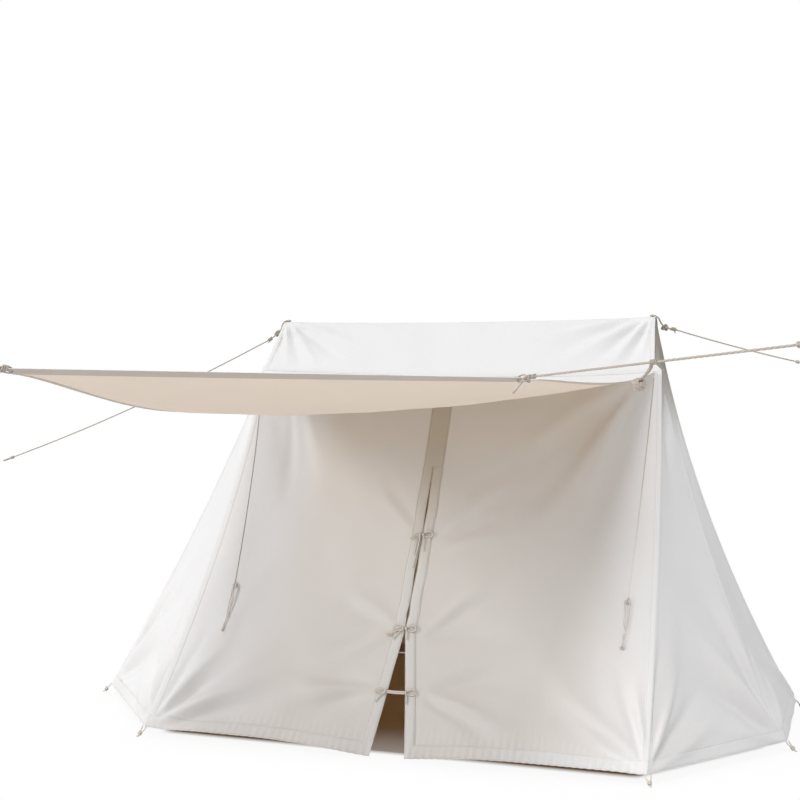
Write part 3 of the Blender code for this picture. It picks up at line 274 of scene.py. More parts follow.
def fold_height(folds, s, t, width, height=RISE):
    """How far folds lift the cloth; width is a function of t."""
    x, y = (s - 0.5) * width(t), t * height
    lift = np.zeros(np.broadcast(s, t).shape)
    for s0, t0, s1, t1, half, rise in folds:
        x0, y0 = (s0 - 0.5) * width(t0), t0 * height
        ax, ay = (s1 - 0.5) * width(t1) - x0, t1 * height - y0
        share = ((x - x0) * ax + (y - y0) * ay) / (ax * ax + ay * ay)
        off = np.hypot(x - x0 - ax * share, y - y0 - ay * share)
        inside = np.clip(share, 0, 1)
        spread = half / 1000 * (0.55 + 0.9 * inside)
        lift += rise / 1000 * np.sin(math.pi * inside**0.75) ** 2 * bell(off, spread)
    return lift * edge_fade(s)


def front_wall(s, t):
    share = t / EAVE_SHARE
    point = between(seam(-1, 0, t), seam(1, 0, t), s[..., None])
    forward = EAVE_BOW * share + (FRONT_SEAM_SAG - WALL_MIDDLE_SAG) * bow(share)
    point[..., 1] -= forward * bow(s)
    drop = DOOR_HEM_DROOP * bell(point[..., 0], DOOR_DROOP_REACH)
    point[..., 2] -= drop * np.maximum(1 - share, 0.0) ** 4 + eave_dip(s) * share**3
    point[..., 1] -= fold_height(WALL_FOLDS, s, t, fixed(FRONT_EDGE))
    return point


def under_crest(t):
    """Share of the folds that is left near the ridge pole, where the cloth lies on it."""
    return np.clip((CREST_SHARE - t) * RISE / CREST_STRIP, 0.0, 1.0)


def front_roof(s, t):
    foot = between(eave_corner(-1), eave_corner(1), s[..., None])
    foot[..., 1] -= EAVE_BOW * bow(s)
    foot[..., 2] -= eave_dip(s)
    point = to_ridge(foot, RIDGE_END[-1] + RIDGE_LENGTH * s, t, EAVE_SHARE)
    point[..., 0] -= roof_tuck(t) * s**6
    point[..., 1] -= fold_height(ROOF_FOLDS, s, t, fixed(RIDGE_LENGTH)) * under_crest(t)
    return point


def back_surface(s, t):
    foot = between(base_corner(-1, 3), base_corner(1, 3), s[..., None])
    point = to_ridge(foot, RIDGE_END[-1] + RIDGE_LENGTH * s, t, 0.0)
    sag = bow(np.minimum(t / CREST_SHARE, 1.0))
    inward = (INSIDE - foot) * (1, 1, 0)
    point += norm(inward) * (BACK_SEAM_SAG * sag)[..., None]
    point[..., 1] -= BACK_MIDDLE_SAG * bow(s) * sag
    middle = np.minimum(7 * np.minimum(s, 1 - s), 1.0)
    point[..., 2] -= BACK_HEM_DROOP * middle * np.maximum(1 - 3 * t, 0.0) ** 3
    point[..., 1] += fold_height(BACK_FOLDS, s, t, fixed(FRONT_EDGE)) * under_crest(t)
    return point


def gore(side, first):
    width = gore_width(side, first)

    def at(s, t):
        point = between(seam(side, first, t), seam(side, first + 1, t), s[..., None])
        level = point - INSIDE
        level[..., 2] = 0
        rise = fold_height(GORE_FOLDS, s, t, width) - GORE_HOLLOW * bow(s) * bow(t)
        return point + norm(level) * rise[..., None]

    return at


def awning_surface(s, t):
    x = between(*(EAVE_END[side] - side * AWNING_BACK_INSET[side] for side in (-1, 1)), s)
    wall_share = (x - EAVE_END[-1]) / (EAVE_END[1] - EAVE_END[-1])
    dip = eave_dip(wall_share)
    back_y = EAVE_BACK - EAVE_BOW * bow(wall_share) - AWNING_BACK_GAP
    start = stack(x, back_y - AWNING_END_GAP * (1 - bow(wall_share)), EAVE_HEIGHT - dip)
    front_x = AWNING_FRONT_SHIFT + AWNING_FRONT_WIDTH * (s - 0.5)
    end = stack(front_x, EAVE_BACK - AWNING_REACH, between(*AWNING_HEIGHT.values(), s))
    sag = between(*AWNING_SIDE_SAG.values(), s) + AWNING_BELLY * bow(s)
    sag = sag * bow(t) * (1 - AWNING_SAG_LEAN * (2 * t - 1))
    fold = fold_height(AWNING_FOLDS, s, t, fixed(AWNING_FRONT_WIDTH), AWNING_REACH)
    inward = (1 - t) * AWNING_REACH
    hang = np.where(inward < AWNING_HEM, inward / AWNING_HEM, np.exp(-(inward - AWNING_HEM) / 0.1))
    point = between(start, end, t[..., None])
    point[..., 2] += fold * edge_fade(t) - sag + dip * ((1 - t) - (1 - t) ** 3)
    point[..., 2] -= AWNING_HEM_HANG * hang
    return point


# The door: where the slit and its gaping edges run across the wall.
def slit_x(height):
    return RIDGE_SHIFT * (height - HEM_LIFT) / (EAVE_HEIGHT - HEM_LIFT)


def share_across(x, t):
    left, right = seam(-1, 0, t)[..., 0], seam(1, 0, t)[..., 0]
    return (x - left) / (right - left)


def slit_gap(t):
    """The slit gapes between the ties, and the flaps meet beside each tie."""
    height = HEM_LIFT + t * RISE
    gape = 0.003
    for at, wide, reach in ((1.08, 0.007, 0.07), (0.79, 0.0085, 0.06), (0.605, 0.009, 0.03)):
        gape = gape + wide * bell(height - at, reach)
    return gape


def door_edge(side, t, off=0.0, gap=None):
    height = HEM_LIFT + t * RISE
    gap = slit_gap(t) if gap is None else gap
    lower = 1 - (height - HEM_LIFT) / (DOOR_SPLIT_HEIGHT - HEM_LIFT)
    opened = DOOR_SPREAD[side] * np.maximum(0.0, lower)
    return share_across(slit_x(height) + side * (opened + gap / 2 + off), t)


# Finer relief: slack waves, rays that run out of the pegged corners, puckers along seams.
def waves(x, y, seed, height, length):
    rng = np.random.default_rng(seed)
    total = 0.0
    for _ in range(7):
        turn = rng.uniform(0, 2 * math.pi)
        span = length * rng.uniform(0.6, 1.7)
        phase = rng.uniform(0, 2 * math.pi)
        run = (x * math.cos(turn) + y * math.sin(turn)) / span
        total = total + np.sin(2 * math.pi * run + phase)
    return total * height / 3.0


def rays(x, y, corner, count, height, reach, seed):
    """Wrinkles that fan out of a corner and die away over reach."""
    rng = np.random.default_rng(seed)
    dx, dy = x - corner[0], y - corner[1]
    far = np.hypot(dx, dy)
    angle = np.arctan2(dy, dx) + 0.12 * np.sin(far * 7 + seed)
    total = 0.0
    for harmonic in (1.0, 1.7, 2.6):
        total = total + np.sin(angle * count * harmonic + rng.uniform(0, 6.28)) / harmonic
    return height * total * (1 - bell(far, 0.16)) * np.exp(-far / reach) * 0.8


def puckers(x, y, off, seed, height=0.0013, length=0.03, reach=0.03):
    """Short ripples where a seam gathers the cloth; off is the distance from the seam."""
    wobble = np.sin(x * 11 + y * 7 + seed) * 1.3 + np.sin(x * 3.1 - y * 5.3 + seed) * 2.1
    run = np.sin(2 * math.pi * (x + y) / length + wobble)
    return height * run * np.exp(-np.maximum(off, 0) / reach)


def creases(x, y, lines):
    """Drawn folds: ridges, or steps to one side where a line ends with STEP."""
    rise = 0.0
    for x0, y0, x1, y1, half, height, *step in lines:
        ax, ay = x1 - x0, y1 - y0
        long = math.hypot(ax, ay)
        share = ((x - x0) * ax + (y - y0) * ay) / long**2
        off = ((y - y0) * ax - (x - x0) * ay) / long
        off = off + half / 1e4 * np.sin(share * 9 + x0 * 5)
        inside = np.clip(share, 0, 1)
        spread = half / 1000 * (0.55 + 0.85 * inside)
        ridge = bell(off, spread)
        if step:
            ridge = off / spread * 1.65 * ridge
        rise = rise + 0.0024 * height * np.sin(math.pi * inside**0.72) ** 1.5 * ridge
    return rise


class Panel:
    """A panel of cloth: its surface, its width (a function of t) and height, its fine relief."""

    look = None

    def __init__(self, base, width, height, seed, corners, lines=(), low=0.0, held=(0, 0),
                 out=None, over_ridge=False, gather=0.0014):
        self.base, self.width, self.height, self.seed = base, width, height, seed
        self.corners, self.lines, self.low, self.held = corners, lines, low, held
        self.out, self.over_ridge, self.gather = out, over_ridge, gather

    def place(self, s, t):
        wide = self.width(t)
        return (s - 0.5) * wide, (t - self.low) * self.height, wide

    def relief(self, s, t):
        x, y, wide = self.place(s, t)
        rise = waves(x, y, self.seed, 0.0022, 0.42) + waves(x, y, self.seed + 50, 0.0006, 0.13)
        for number, (cs, ct, count, height, reach) in enumerate(self.corners):
            corner = self.place(cs, ct)
            rise = rise + rays(x, y, corner, count, height, reach, self.seed + number)
        off = np.minimum(s, 1 - s) * wide
        sharp = 1 - bell(off, 0.022)
        rise = rise * (1 - bell(off, 0.05)) + creases(x, y, self.lines) * sharp
        rise = rise + puckers(x, y, off, self.seed) * (1 - bell(off, 0.006))
        if self.low == 0.0 and not self.held[0]:
            rise = rise + puckers(x, 0 * y, y, self.seed + 7, self.gather, 0.034, 0.05) * sharp
        for held, away in zip(self.held, (y, (1 - t) * self.height)):
            if held:
                rise = rise * (1 - bell(away, held))
        if self.over_ridge:
            below = np.maximum((CREST_SHARE - t) * self.height, 0)
            rise = np.maximum(rise, CREST_RADIUS - np.hypot(CREST_RADIUS, below) - 0.0006)
        return rise

    def unfaced(self, surface, s, t, step):
        """A surface's normals, which may still point inwards."""
        across = surface(np.minimum(s + step, 1), t) - surface(np.maximum(s - step, 0), t)
        low, high = np.maximum(t - step, self.low), np.minimum(t + step, 1)
        return norm(np.cross(across, surface(s, high) - surface(s, low)))

    def plain_normal(self, s, t):
        outward = self.base(s, t) - INSIDE if self.out is None else self.out
        return facing(self.unfaced(self.base, s, t, 2e-4), outward)

    def at(self, s, t):
        s, t = np.broadcast_arrays(np.asarray(s, float), np.asarray(t, float))
        return self.base(s, t) + self.plain_normal(s, t) * self.relief(s, t)[..., None]

    def normal(self, s, t):
        s, t = np.broadcast_arrays(np.asarray(s, float), np.asarray(t, float))
        return facing(self.unfaced(self.at, s, t, 1.5e-3), self.plain_normal(s, t))

    def lifted(self, s, t, height):
        return self.at(s, t) + self.normal(s, t) * np.asarray(height)[..., None]


# Drawn folds of each panel: x and y of the two ends in metres from the middle of its foot, then
# half width and height in millimetres.
STEP = 1
WALL_LINES = (
    (HALF, 0, 0.72, 0.2, 40, -13), (HALF, 0.01, 0.66, 0.34, 45, 11),
    (HALF - 0.01, 0.02, 1.085, 0.4, 22, 8.5), (HALF - 0.01, 0.02, 0.99, 0.44, 30, -9),
    (-HALF, 0, -0.52, 0.16, 40, -14), (-HALF, 0.01, -0.5, 0.3, 40, 12),
    (-HALF, 0.01, -0.78, 0.34, 30, -9.5), (-HALF + 0.01, 0.02, -0.88, 0.44, 32, 10),
    (-HALF + 0.02, 0.04, -1.03, 0.5, 22, -4), (1.02, 1.62, 0.5, 0.92, 60, 8.5, STEP),
    (1.02, 1.64, 0.3, 1.16, 70, -6, STEP), (1.03, 1.6, 0.72, 0.8, 50, -5.5, STEP),
    (-0.96, 1.64, -0.62, 1.05, 50, 4, STEP), (-0.97, 1.6, -0.8, 0.9, 35, -4),
    (0.07, 0.9, 0.52, 1.2, 45, 4.2, STEP), (0.08, 0.86, 0.5, 0.98, 45, -3.6, STEP),
    (0.09, 0.48, 0.48, 0.72, 40, 5.5, STEP), (0.1, 0.46, 0.58, 0.5, 40, -5),
    (0.14, 0.24, 0.62, 0.06, 35, 9, STEP), (0.14, 0.25, 0.66, 0.34, 45, -10),
    (-0.04, 0.9, -0.36, 1.2, 40, 2.8, STEP), (-0.06, 0.48, -0.46, 0.34, 40, 7, STEP),
    (-0.06, 0.49, -0.44, 0.64, 45, -4.5, STEP), (-0.1, 0.23, -0.56, 0.1, 35, -9.5),
    (-0.1, 0.25, -0.6, 0.24, 40, 9, STEP),
)
ROOF_LINES = tuple((x, RISE * (1 - EAVE_SHARE), *rest) for x, *rest in (
    (1, 0.42, 0.205, 14, -5), (1, 0.34, 0.155, 16, 6), (1, 0.4, 0.085, 18, -6.5),
    (1, 0.46, 0.03, 18, 6), (0.995, 0.62, 0.01, 18, -6), (0.995, 0.74, 0, 16, 5),
    (0.995, 0.84, 0.01, 14, -5), (0.995, 0.925, 0.03, 10, 3.5), (-1, -0.52, 0.2, 14, -5),
    (-1, -0.46, 0.12, 14, 5.5), (-0.995, -0.52, 0.03, 15, -6), (-0.995, -0.66, 0, 15, 6),
    (-0.995, -0.78, 0, 14, -5.5), (-0.995, -0.87, 0.01, 12, 4.5), (-0.995, -0.945, 0.03, 9, -3.5),
))
GORE_LINES = (
    (-0.44, 0, -0.14, 0.42, 26, 10), (-0.44, 0.01, -0.24, 0.52, 22, -9),
    (-0.44, 0, 0.02, 0.3, 30, -9.5), (-0.44, 0, 0.12, 0.16, 30, 8.5),
    (-0.435, 0.02, -0.34, 0.46, 16, 6), (0.44, 0, -0.14, 0.62, 46, 13),
    (0.44, 0.01, -0.2, 0.4, 40, -12), (0.44, 0.01, 0.02, 0.8, 40, -11),
    (0.43, 0.02, 0.2, 0.66, 24, 8), (0.43, 0, -0.06, 0.13, 26, 8),
    (0.1, 1.86, -0.02, 1.1, 30, -10), (-0.06, 1.86, -0.1, 1.3, 24, 8),
)
END_LINES = (
    (-0.4, 0, -0.06, 0.34, 30, 11), (-0.4, 0.01, -0.2, 0.48, 24, -10),
    (-0.4, 0.01, 0.1, 0.26, 30, -9), (0.4, 0, 0.06, 0.34, 30, 11), (0.4, 0.01, 0.2, 0.48, 24, -10),
    (0, 1.8, 0.03, 0.8, 40, -11), (-0.03, 1.8, -0.12, 0.9, 30, 8),
)
BACK_LINES = (
    (HALF, 0, 0.6, 0.22, 40, -13), (HALF, 0.01, 0.62, 0.46, 45, 11),
    (HALF - 0.01, 0.02, 0.95, 0.5, 30, -9), (1.12, RISE - 0.02, 0.5, 1.3, 50, -11),
    (1.13, RISE - 0.02, 0.8, 1.2, 35, 9),
)


def mirrored(lines):
    return tuple((-x0, y0, -x1, y1, *rest) for x0, y0, x1, y1, *rest in lines)


# Corners that rays run out of: s, t, number of rays, height and reach.
WALL = Panel(
    front_wall, fixed(FRONT_EDGE), RISE, 3,
    ((0, 0, 9, 0.003, 0.3), (1, 0, 9, 0.003, 0.3), (0.02, EAVE_SHARE, 8, 0.0025, 0.35),
     (0.98, EAVE_SHARE, 8, 0.0025, 0.35)),
    WALL_LINES, gather=0.003,
)
ROOF = Panel(
    front_roof, fixed(RIDGE_LENGTH), RISE, 11,
    ((0.01, 1, 11, 0.0018, 0.32), (0.99, 1, 11, 0.0018, 0.36)),
    ROOF_LINES, low=EAVE_SHARE, held=(0.02, 0.022), over_ridge=True,
)
BACK = Panel(
    back_surface, fixed(FRONT_EDGE), RISE, 23,
    ((0, 0, 9, 0.004, 0.32), (1, 0, 9, 0.004, 0.32), (0.02, 1, 9, 0.003, 0.4),
     (0.98, 1, 9, 0.003, 0.4)),
    BACK_LINES + mirrored(BACK_LINES), held=(0, 0.022), over_ridge=True,
)
GORES = {
    side: [
        Panel(
            gore(side, first), gore_width(side, first), RISE, 31 + first * 3 + side,
            ((0, 0, 8, 0.003, 0.26), (1, 0, 8, 0.003, 0.26), (0.5, 1, 8, 0.003, 0.4)), lines,
        )
        for first, lines in enumerate((GORE_LINES, END_LINES, mirrored(GORE_LINES)))
    ]
    for side in (-1, 1)
}
AWNING = Panel(
    awning_surface, fixed(AWNING_FRONT_WIDTH), AWNING_REACH, 47,
    ((0, 1, 8, 0.003, 0.34), (1, 1, 8, 0.003, 0.34), (0, 0, 7, 0.002, 0.25),
     (1, 0, 7, 0.002, 0.25)),
    out=UP, held=(0.02, 0.16),
)


# Procedural materials.
def fill(tree, made, sockets):
    """Sets or links the inputs of a shader node."""
    for key, value in sockets.items():
        socket = made.inputs[key]
        if hasattr(value, "is_linked"):
            tree.links.new(value, socket)
        else:
            socket.default_value = (*value, 1) if socket.type == "RGBA" else value


def add(tree, kind, sockets, out=0, **settings):
    """Adds a shader node and gives one of its outputs."""
    made = tree.nodes.new("ShaderNode" + kind)
    for name, value in settings.items():
        setattr(made, name, value)
    fill(tree, made, sockets)
    return made.outputs[out]


def ramp(tree, source, *stops):
    made = tree.nodes.new("ShaderNodeValToRGB")
    ends = made.color_ramp.elements
    for end, (place, colour) in zip(ends, (stops[0], stops[-1])):
        end.position, end.color = place, (*colour, 1)
    for place, colour in stops[1:-1]:
        ends.new(place).color = (*colour, 1)
    tree.links.new(source, made.inputs[0])
    return made.outputs[0]


def mixed(tree, a, b, share):
    return add(tree, "Mix", {0: share, 6: a, 7: b}, 2, data_type="RGBA")


def fresh(name):
    made = bpy.data.materials.new(name)
    made.use_nodes = True
    return made, made.node_tree, made.node_tree.nodes["Principled BSDF"]


def scaled(tree, coordinates, scale):
    return add(tree, "Mapping", {"Scale": scale, "Vector": coordinates})


def noise(tree, vector, scale, detail, rough=0.55):
    sockets = {"Scale": scale, "Detail": detail, "Roughness": rough, "Vector": vector}
    return add(tree, "TexNoise", sockets, "Fac")


def bump(tree, height, strength, distance):
    return add(tree, "Bump", {"Strength": strength, "Distance": distance, "Height": height})


def calculated(tree, operation, *values):
    return add(tree, "Math", dict(enumerate(values)), operation=operation)


def smoothstep(tree, value, low, high):
    sockets = {"From Min": low, "From Max": high, "Value": value}
    return add(tree, "MapRange", sockets, "Result", interpolation_type="SMOOTHSTEP")


def painted_shade_share(tree, uv, low, high, near=None, far=None):
    """How much painted shade cloth has: more of it higher up and, with near and far, inside them.
    """
    height = add(tree, "SeparateXYZ", {0: uv}, "Y")
    share = smoothstep(tree, height, low, high)
    if near is None:
        return share
    aside = calculated(tree, "SUBTRACT", height.node.outputs["X"], 0.12)
    inside = smoothstep(tree, calculated(tree, "ABSOLUTE", aside), far, near)
    return calculated(
        tree, "MULTIPLY", calculated(tree, "MULTIPLY_ADD", share, 0.72, 0.28), inside
    )


WHITE = (0.872, 0.872, 0.88)
SOILED = (0.82, 0.81, 0.8)


def canvas_material(name, colour=WHITE, soil=SOILED, weave=0.25, soiling=0.35,
                    glow=(0.86, 0.79, 0.7), thin=0.2, painted_shade=None):
    """Plain-woven cotton: uneven yarns both ways, faint soiling and a soft nap, and where given a
    colour of painted shade that grows higher up.
    """
    made, tree, shader = fresh(name)
    uv = add(tree, "TexCoord", {}, "UV")
    yarns = (900, 45, 1), (45, 900, 1)
    threads = mixed(tree, *(noise(tree, scaled(tree, uv, yarn), 1.0, 3.0) for yarn in yarns), 0.5)
    light = tuple(min(c * 1.03, 1.0) for c in colour)
    deep = tuple(c * 0.93 for c in colour)
    base = ramp(tree, threads, (0.3, deep), (0.5, colour), (0.7, light))
    clouds = noise(tree, uv, 2.6, 5.0, 0.6)
    shown = mixed(tree, base, soil, ramp(tree, clouds, (0.42, (0, 0, 0)), (0.75, (soiling,) * 3)))
    # Painted shade: its colour is mixed in higher up the panel, and only across a middle band where
    # near and far are given.
    if painted_shade:
        shown = mixed(tree, shown, painted_shade[0], painted_shade_share(tree, uv, *painted_shade[1:]))
    bands = {"Scale": 260.0, "Distortion": 0.8, "Detail": 1.0, "Vector": uv}
    ribs = (add(tree, "TexWave", bands, "Fac", bands_direction=axis) for axis in "XY")
    height = mixed(tree, mixed(tree, *ribs, 0.5), threads, 0.55)
    fill(tree, shader, {
        "Base Color": shown, "Roughness": 0.92, "Normal": bump(tree, height, weave, 0.0006),
        "Sheen Weight": 0.12, "Sheen Roughness": 0.6, "Specular IOR Level": 0.2,
    })
    through = add(tree, "BsdfTranslucent", {"Color": glow})
    both = add(tree, "MixShader", {0: thin, 1: shader.outputs[0], 2: through})
    fill(tree, tree.nodes["Material Output"], {"Surface": both})
    return made


def band_material(name, colour, soil, painted_shade=None):
    return canvas_material(name, colour, soil, 0.35, 0.5, painted_shade=painted_shade)


def rope_material(name, light, dark):
    """Laid cotton rope: painted shade darkens the hollows between the strands, with loose fibres.
    """
    made, tree, shader = fresh(name)
    uv = add(tree, "TexCoord", {}, "UV")
    fibres = noise(tree, scaled(tree, uv, (900, 260, 1)), 1.0, 4.0)
    groove_shade = add(tree, "Attribute", {}, "Fac", attribute_name="groove_shade")
    # Painted shade: the dark colour goes where the mesh marks hollows between strands and the edges
    # of tapes.
    base = mixed(tree, light, dark, groove_shade)
    base = mixed(tree, base, ramp(tree, fibres, (0.3, dark), (0.7, light)), 0.3)
    fill(tree, shader, {
        "Base Color": base, "Roughness": 0.88, "Normal": bump(tree, fibres, 0.4, 0.0004),
        "Sheen Weight": 0.2, "Specular IOR Level": 0.25,
    })
    return made


def wood_material():
    """Turned softwood: grain along the pole, growth rings and a worn satin varnish."""
    made, tree, shader = fresh("pole_wood_look")
    place = add(tree, "TexCoord", {}, "Object")
    turned = noise(tree, scaled(tree, place, (60, 60, 3)), 1.0, 6.0, 0.6)
    sockets = {"Scale": 26.0, "Distortion": 5.0, "Detail Scale": 1.5}
    sockets["Vector"] = scaled(tree, place, (1, 1, 0.08))
    rings = add(tree, "TexWave", sockets, "Fac", wave_type="RINGS")
    grain = mixed(tree, rings, turned, 0.6)
    base = ramp(
        tree, grain, (0.25, (0.3, 0.17, 0.08)), (0.5, (0.48, 0.31, 0.16)), (0.8, (0.6, 0.42, 0.24))
    )
    fill(tree, shader, {
        "Base Color": base, "Roughness": 0.5, "Normal": bump(tree, grain, 0.15, 0.0008),
        "Coat Weight": 0.15,
    })
    return made


def metal_material(name, light, dark, roughness):
    made, tree, shader = fresh(name)
    place = add(tree, "TexCoord", {}, "Object")
    spots = noise(tree, place, 90.0, 6.0, 0.65)
    wear = noise(tree, place, 240.0, 3.0)
    worn, rough = (roughness * 0.7,) * 3, (min(roughness * 1.4, 1),) * 3
    fill(tree, shader, {
        "Base Color": ramp(tree, spots, (0.35, dark), (0.62, light)), "Metallic": 1.0,
        "Roughness": ramp(tree, wear, (0.2, worn), (0.8, rough)),
    })
    return made


CANVAS = canvas_material("canvas_look")
# Front wall: warm brown painted shade of the awning's shadow, strongest high up and in the middle
# of the wall, fading towards both corners.
PAINTED_AWNING_SHADE = canvas_material("front_painted_shade_look", painted_shade=((0.8, 0.725, 0.63), 0.84, 1.76, 0.66, 1.02))
# Right gores: dark painted shade over their tops.
SHADED = canvas_material("right_gore_painted_shade_look", painted_shade=((0.34, 0.305, 0.26), 1.36, 1.9))
BAND = band_material("canvas_band_look", (0.86, 0.857, 0.86), (0.8, 0.785, 0.77))
# Plackets: their own off-white, with brown painted shade over the upper part.
PLACKET = band_material(
    "placket_look", (0.855, 0.845, 0.83), (0.79, 0.77, 0.74), ((0.61, 0.53, 0.42), 0.75, 1.55)
)
# Inner face of the canvas: brown painted shade, with a warmer glow through it, for the warm dim
# light inside the tent.
INNER_PAINTED_SHADE = canvas_material(
    "canvas_inner_painted_shade_look", (0.8, 0.66, 0.48), (0.7, 0.55, 0.38), 0.25, 0.5, (0.92, 0.78, 0.58), 0.5
)
FLY = canvas_material("awning_look", glow=(0.97, 0.92, 0.86), thin=0.24)
# Under side of the awning: beige painted shade, and a warmer glow through it, for the warm light
# beneath the awning.
AWNING_UNDER_PAINTED_SHADE = canvas_material(
    "awning_under_painted_shade_look", (0.845, 0.79, 0.72), (0.79, 0.72, 0.64), glow=(0.97, 0.86, 0.75), thin=0.56
)
# Awning hems: grey-brown painted shade.
HEM_PAINTED_SHADE = band_material("hem_painted_shade_look", (0.61, 0.55, 0.485), (0.51, 0.45, 0.385))
SEAM_LOOK = band_material("seam_look", (0.5, 0.46, 0.41), (0.4, 0.36, 0.31))
THREAD = rope_material("thread_look", (0.58, 0.53, 0.475), (0.46, 0.41, 0.355))
# Ropes, cords and tapes: the second colour is the painted shade of their hollows and edges.
ROPE = rope_material("rope_look", (0.68, 0.61, 0.54), (0.14, 0.1, 0.08))
GUY = rope_material("guy_rope_look", (0.62, 0.55, 0.465), (0.08, 0.055, 0.04))
CORD = rope_material("tie_cord_look", (0.93, 0.89, 0.84), (0.26, 0.19, 0.14))
TAPE = rope_material("tie_tape_look", (0.78, 0.725, 0.665), (0.24, 0.18, 0.135))
WOOD = wood_material()
STEEL = metal_material("steel_look", (0.56, 0.57, 0.59), (0.4, 0.41, 0.43), 0.38)
BRASS = metal_material("brass_look", (0.52, 0.43, 0.25), (0.36, 0.29, 0.17), 0.34)
# Painted shade: the front wall and its bands take the awning's painted shade, and the right gores
# the painted shade over their tops.
WALL.look = PAINTED_AWNING_SHADE
for panel in GORES[1]:
    panel.look = SHADED


# Meshes.
def build(name, points, faces, looks, body, uv, slots=None, groove_shade=None, replaces=()):
    """A piece that rides on a body, or stays baked in place where body is a blend's four values."""
    mesh = bpy.data.meshes.new(name)
    mesh.from_pydata((points - CENTRE).tolist(), [], faces)
    for look in looks:
        mesh.materials.append(look)
    loops = np.empty(len(mesh.loops), int)
    mesh.loops.foreach_get("vertex_index", loops)
    mesh.uv_layers.new(name="UVMap").data.foreach_set("uv", uv[loops].ravel())
    if slots is not None:
        mesh.polygons.foreach_set("material_index", slots)
    if groove_shade is not None:
        mesh.attributes.new("groove_shade", "FLOAT", "POINT").data.foreach_set("value", groove_shade)
    mesh.polygons.foreach_set("use_smooth", [True] * len(mesh.polygons))
    mesh.update()
    mesh.set_sharp_from_angle(angle=math.radians(55))
    piece = placed(name, mesh)
    if isinstance(body, str):
        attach(piece, body)
    else:
        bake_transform(piece)
    if replaces:
        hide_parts(*replaces)
    return piece


def quads(number):
    """Faces of a grid of numbered points."""
    corners = number[:-1, :-1], number[:-1, 1:], number[1:, 1:], number[1:, :-1]
    return np.stack(corners, -1).reshape(-1, 4)


def tube_faces(count, around, closed=False):
    """Faces of a tube of rings of points, with caps unless it closes on itself."""
    number = np.arange(count * around).reshape(count, around)
    faces = quads(np.pad(number, ((0, int(closed)), (0, 1)), "wrap")).tolist()
    return faces if closed else faces + [number[0, ::-1].tolist(), number[-1].tolist()]


def grid_shell(outer, inner):
    """Points, faces and face slots of a closed sheet from two like grids."""
    count = outer[..., 0].size
    number = np.arange(count).reshape(outer.shape[:2])
    front = quads(number)
    rim = np.concatenate((number[0, :-1], number[:-1, -1], number[-1, :0:-1], number[:0:-1, 0]))
    after = np.roll(rim, -1)
    rims = np.stack((rim, rim + count, after + count, after), -1)
    out = np.cross(outer[0, 1] - outer[0, 0], outer[1, 0] - outer[0, 0])
    if np.dot(out, outer[0, 0] - inner[0, 0]) < 0:
        front, rims = front[:, (0, 3, 2, 1)], rims[:, ::-1]
    faces = np.concatenate((front, front[:, (0, 3, 2, 1)] + count, rims)).tolist()
    slots = [0] * len(front) + [1] * len(front) + [0] * len(rims)
    return np.concatenate((outer.reshape(-1, 3), inner.reshape(-1, 3))), faces, slots


def twice(x, y):
    """The uv of both sides of a sheet."""
    return np.tile(np.stack((x, y), -1).reshape(-1, 2), (2, 1))


def sizes(outer):
    """Longest row, longest column and area of a grid of points."""
    wide = np.linalg.norm(np.diff(outer, axis=1), axis=-1).sum(1).max()
    tall = np.linalg.norm(np.diff(outer, axis=0), axis=-1).sum(0).max()
    crossing = (outer[1:, 1:] - outer[:-1, :-1]), (outer[:-1, 1:] - outer[1:, :-1])
    area = np.linalg.norm(np.cross(*crossing), axis=-1).sum() / 2
    return float(wide), float(tall), float(area)


def run_along(line):
    """Distance along a line at each of its points."""
    return np.concatenate(([0], np.linalg.norm(np.diff(line, axis=0), axis=1).cumsum()))


def cloth_piece(name, panel, s, t, body, replaces, looks=None):
    """A sheet of canvas over the grid s, t of a panel."""
    outer = panel.at(s, t)
    normal = norm(np.cross(np.gradient(outer, axis=1), np.gradient(outer, axis=0)))
    inner = outer - facing(normal, panel.plain_normal(s, t)) * CLOTH
    points, faces, slots = grid_shell(outer, inner)
    looks = looks or [panel.look or CANVAS, INNER_PAINTED_SHADE]
    uv = twice(*panel.place(s, t)[:2])
    piece = build(name, points, faces, looks, body, uv, slots, replaces=replaces)
    wide, tall, area = sizes(outer)


def stitches(line, up):
    """Short threads along a line of points: six corners and eight faces each."""
    long, thick = 0.0036, 0.0008
    run = run_along(line)
    places = np.arange(STITCH / 2, run[-1], STITCH)
    if not len(places):
        return np.zeros((0, 3)), []

    def at(values, shift=0.0):
        return np.stack([np.interp(places + shift, run, values[:, i]) for i in range(3)], -1)

    centre, raised = at(line), norm(at(up))
    along = norm(at(line, 0.001) - at(line, -0.001))
    arms = along * long / 2, norm(np.cross(raised, along)) * thick, raised * thick
    six = np.stack([centre + way * arm for arm in arms for way in (-1, 1)], 1)
    faces = []
    for i in range(0, len(places) * 6, 6):
        for a, b in ((2, 5), (5, 3), (3, 4), (4, 2)):
            faces += [[i, i + a, i + b], [i + 1, i + b, i + a]]
    return six.reshape(-1, 3), faces


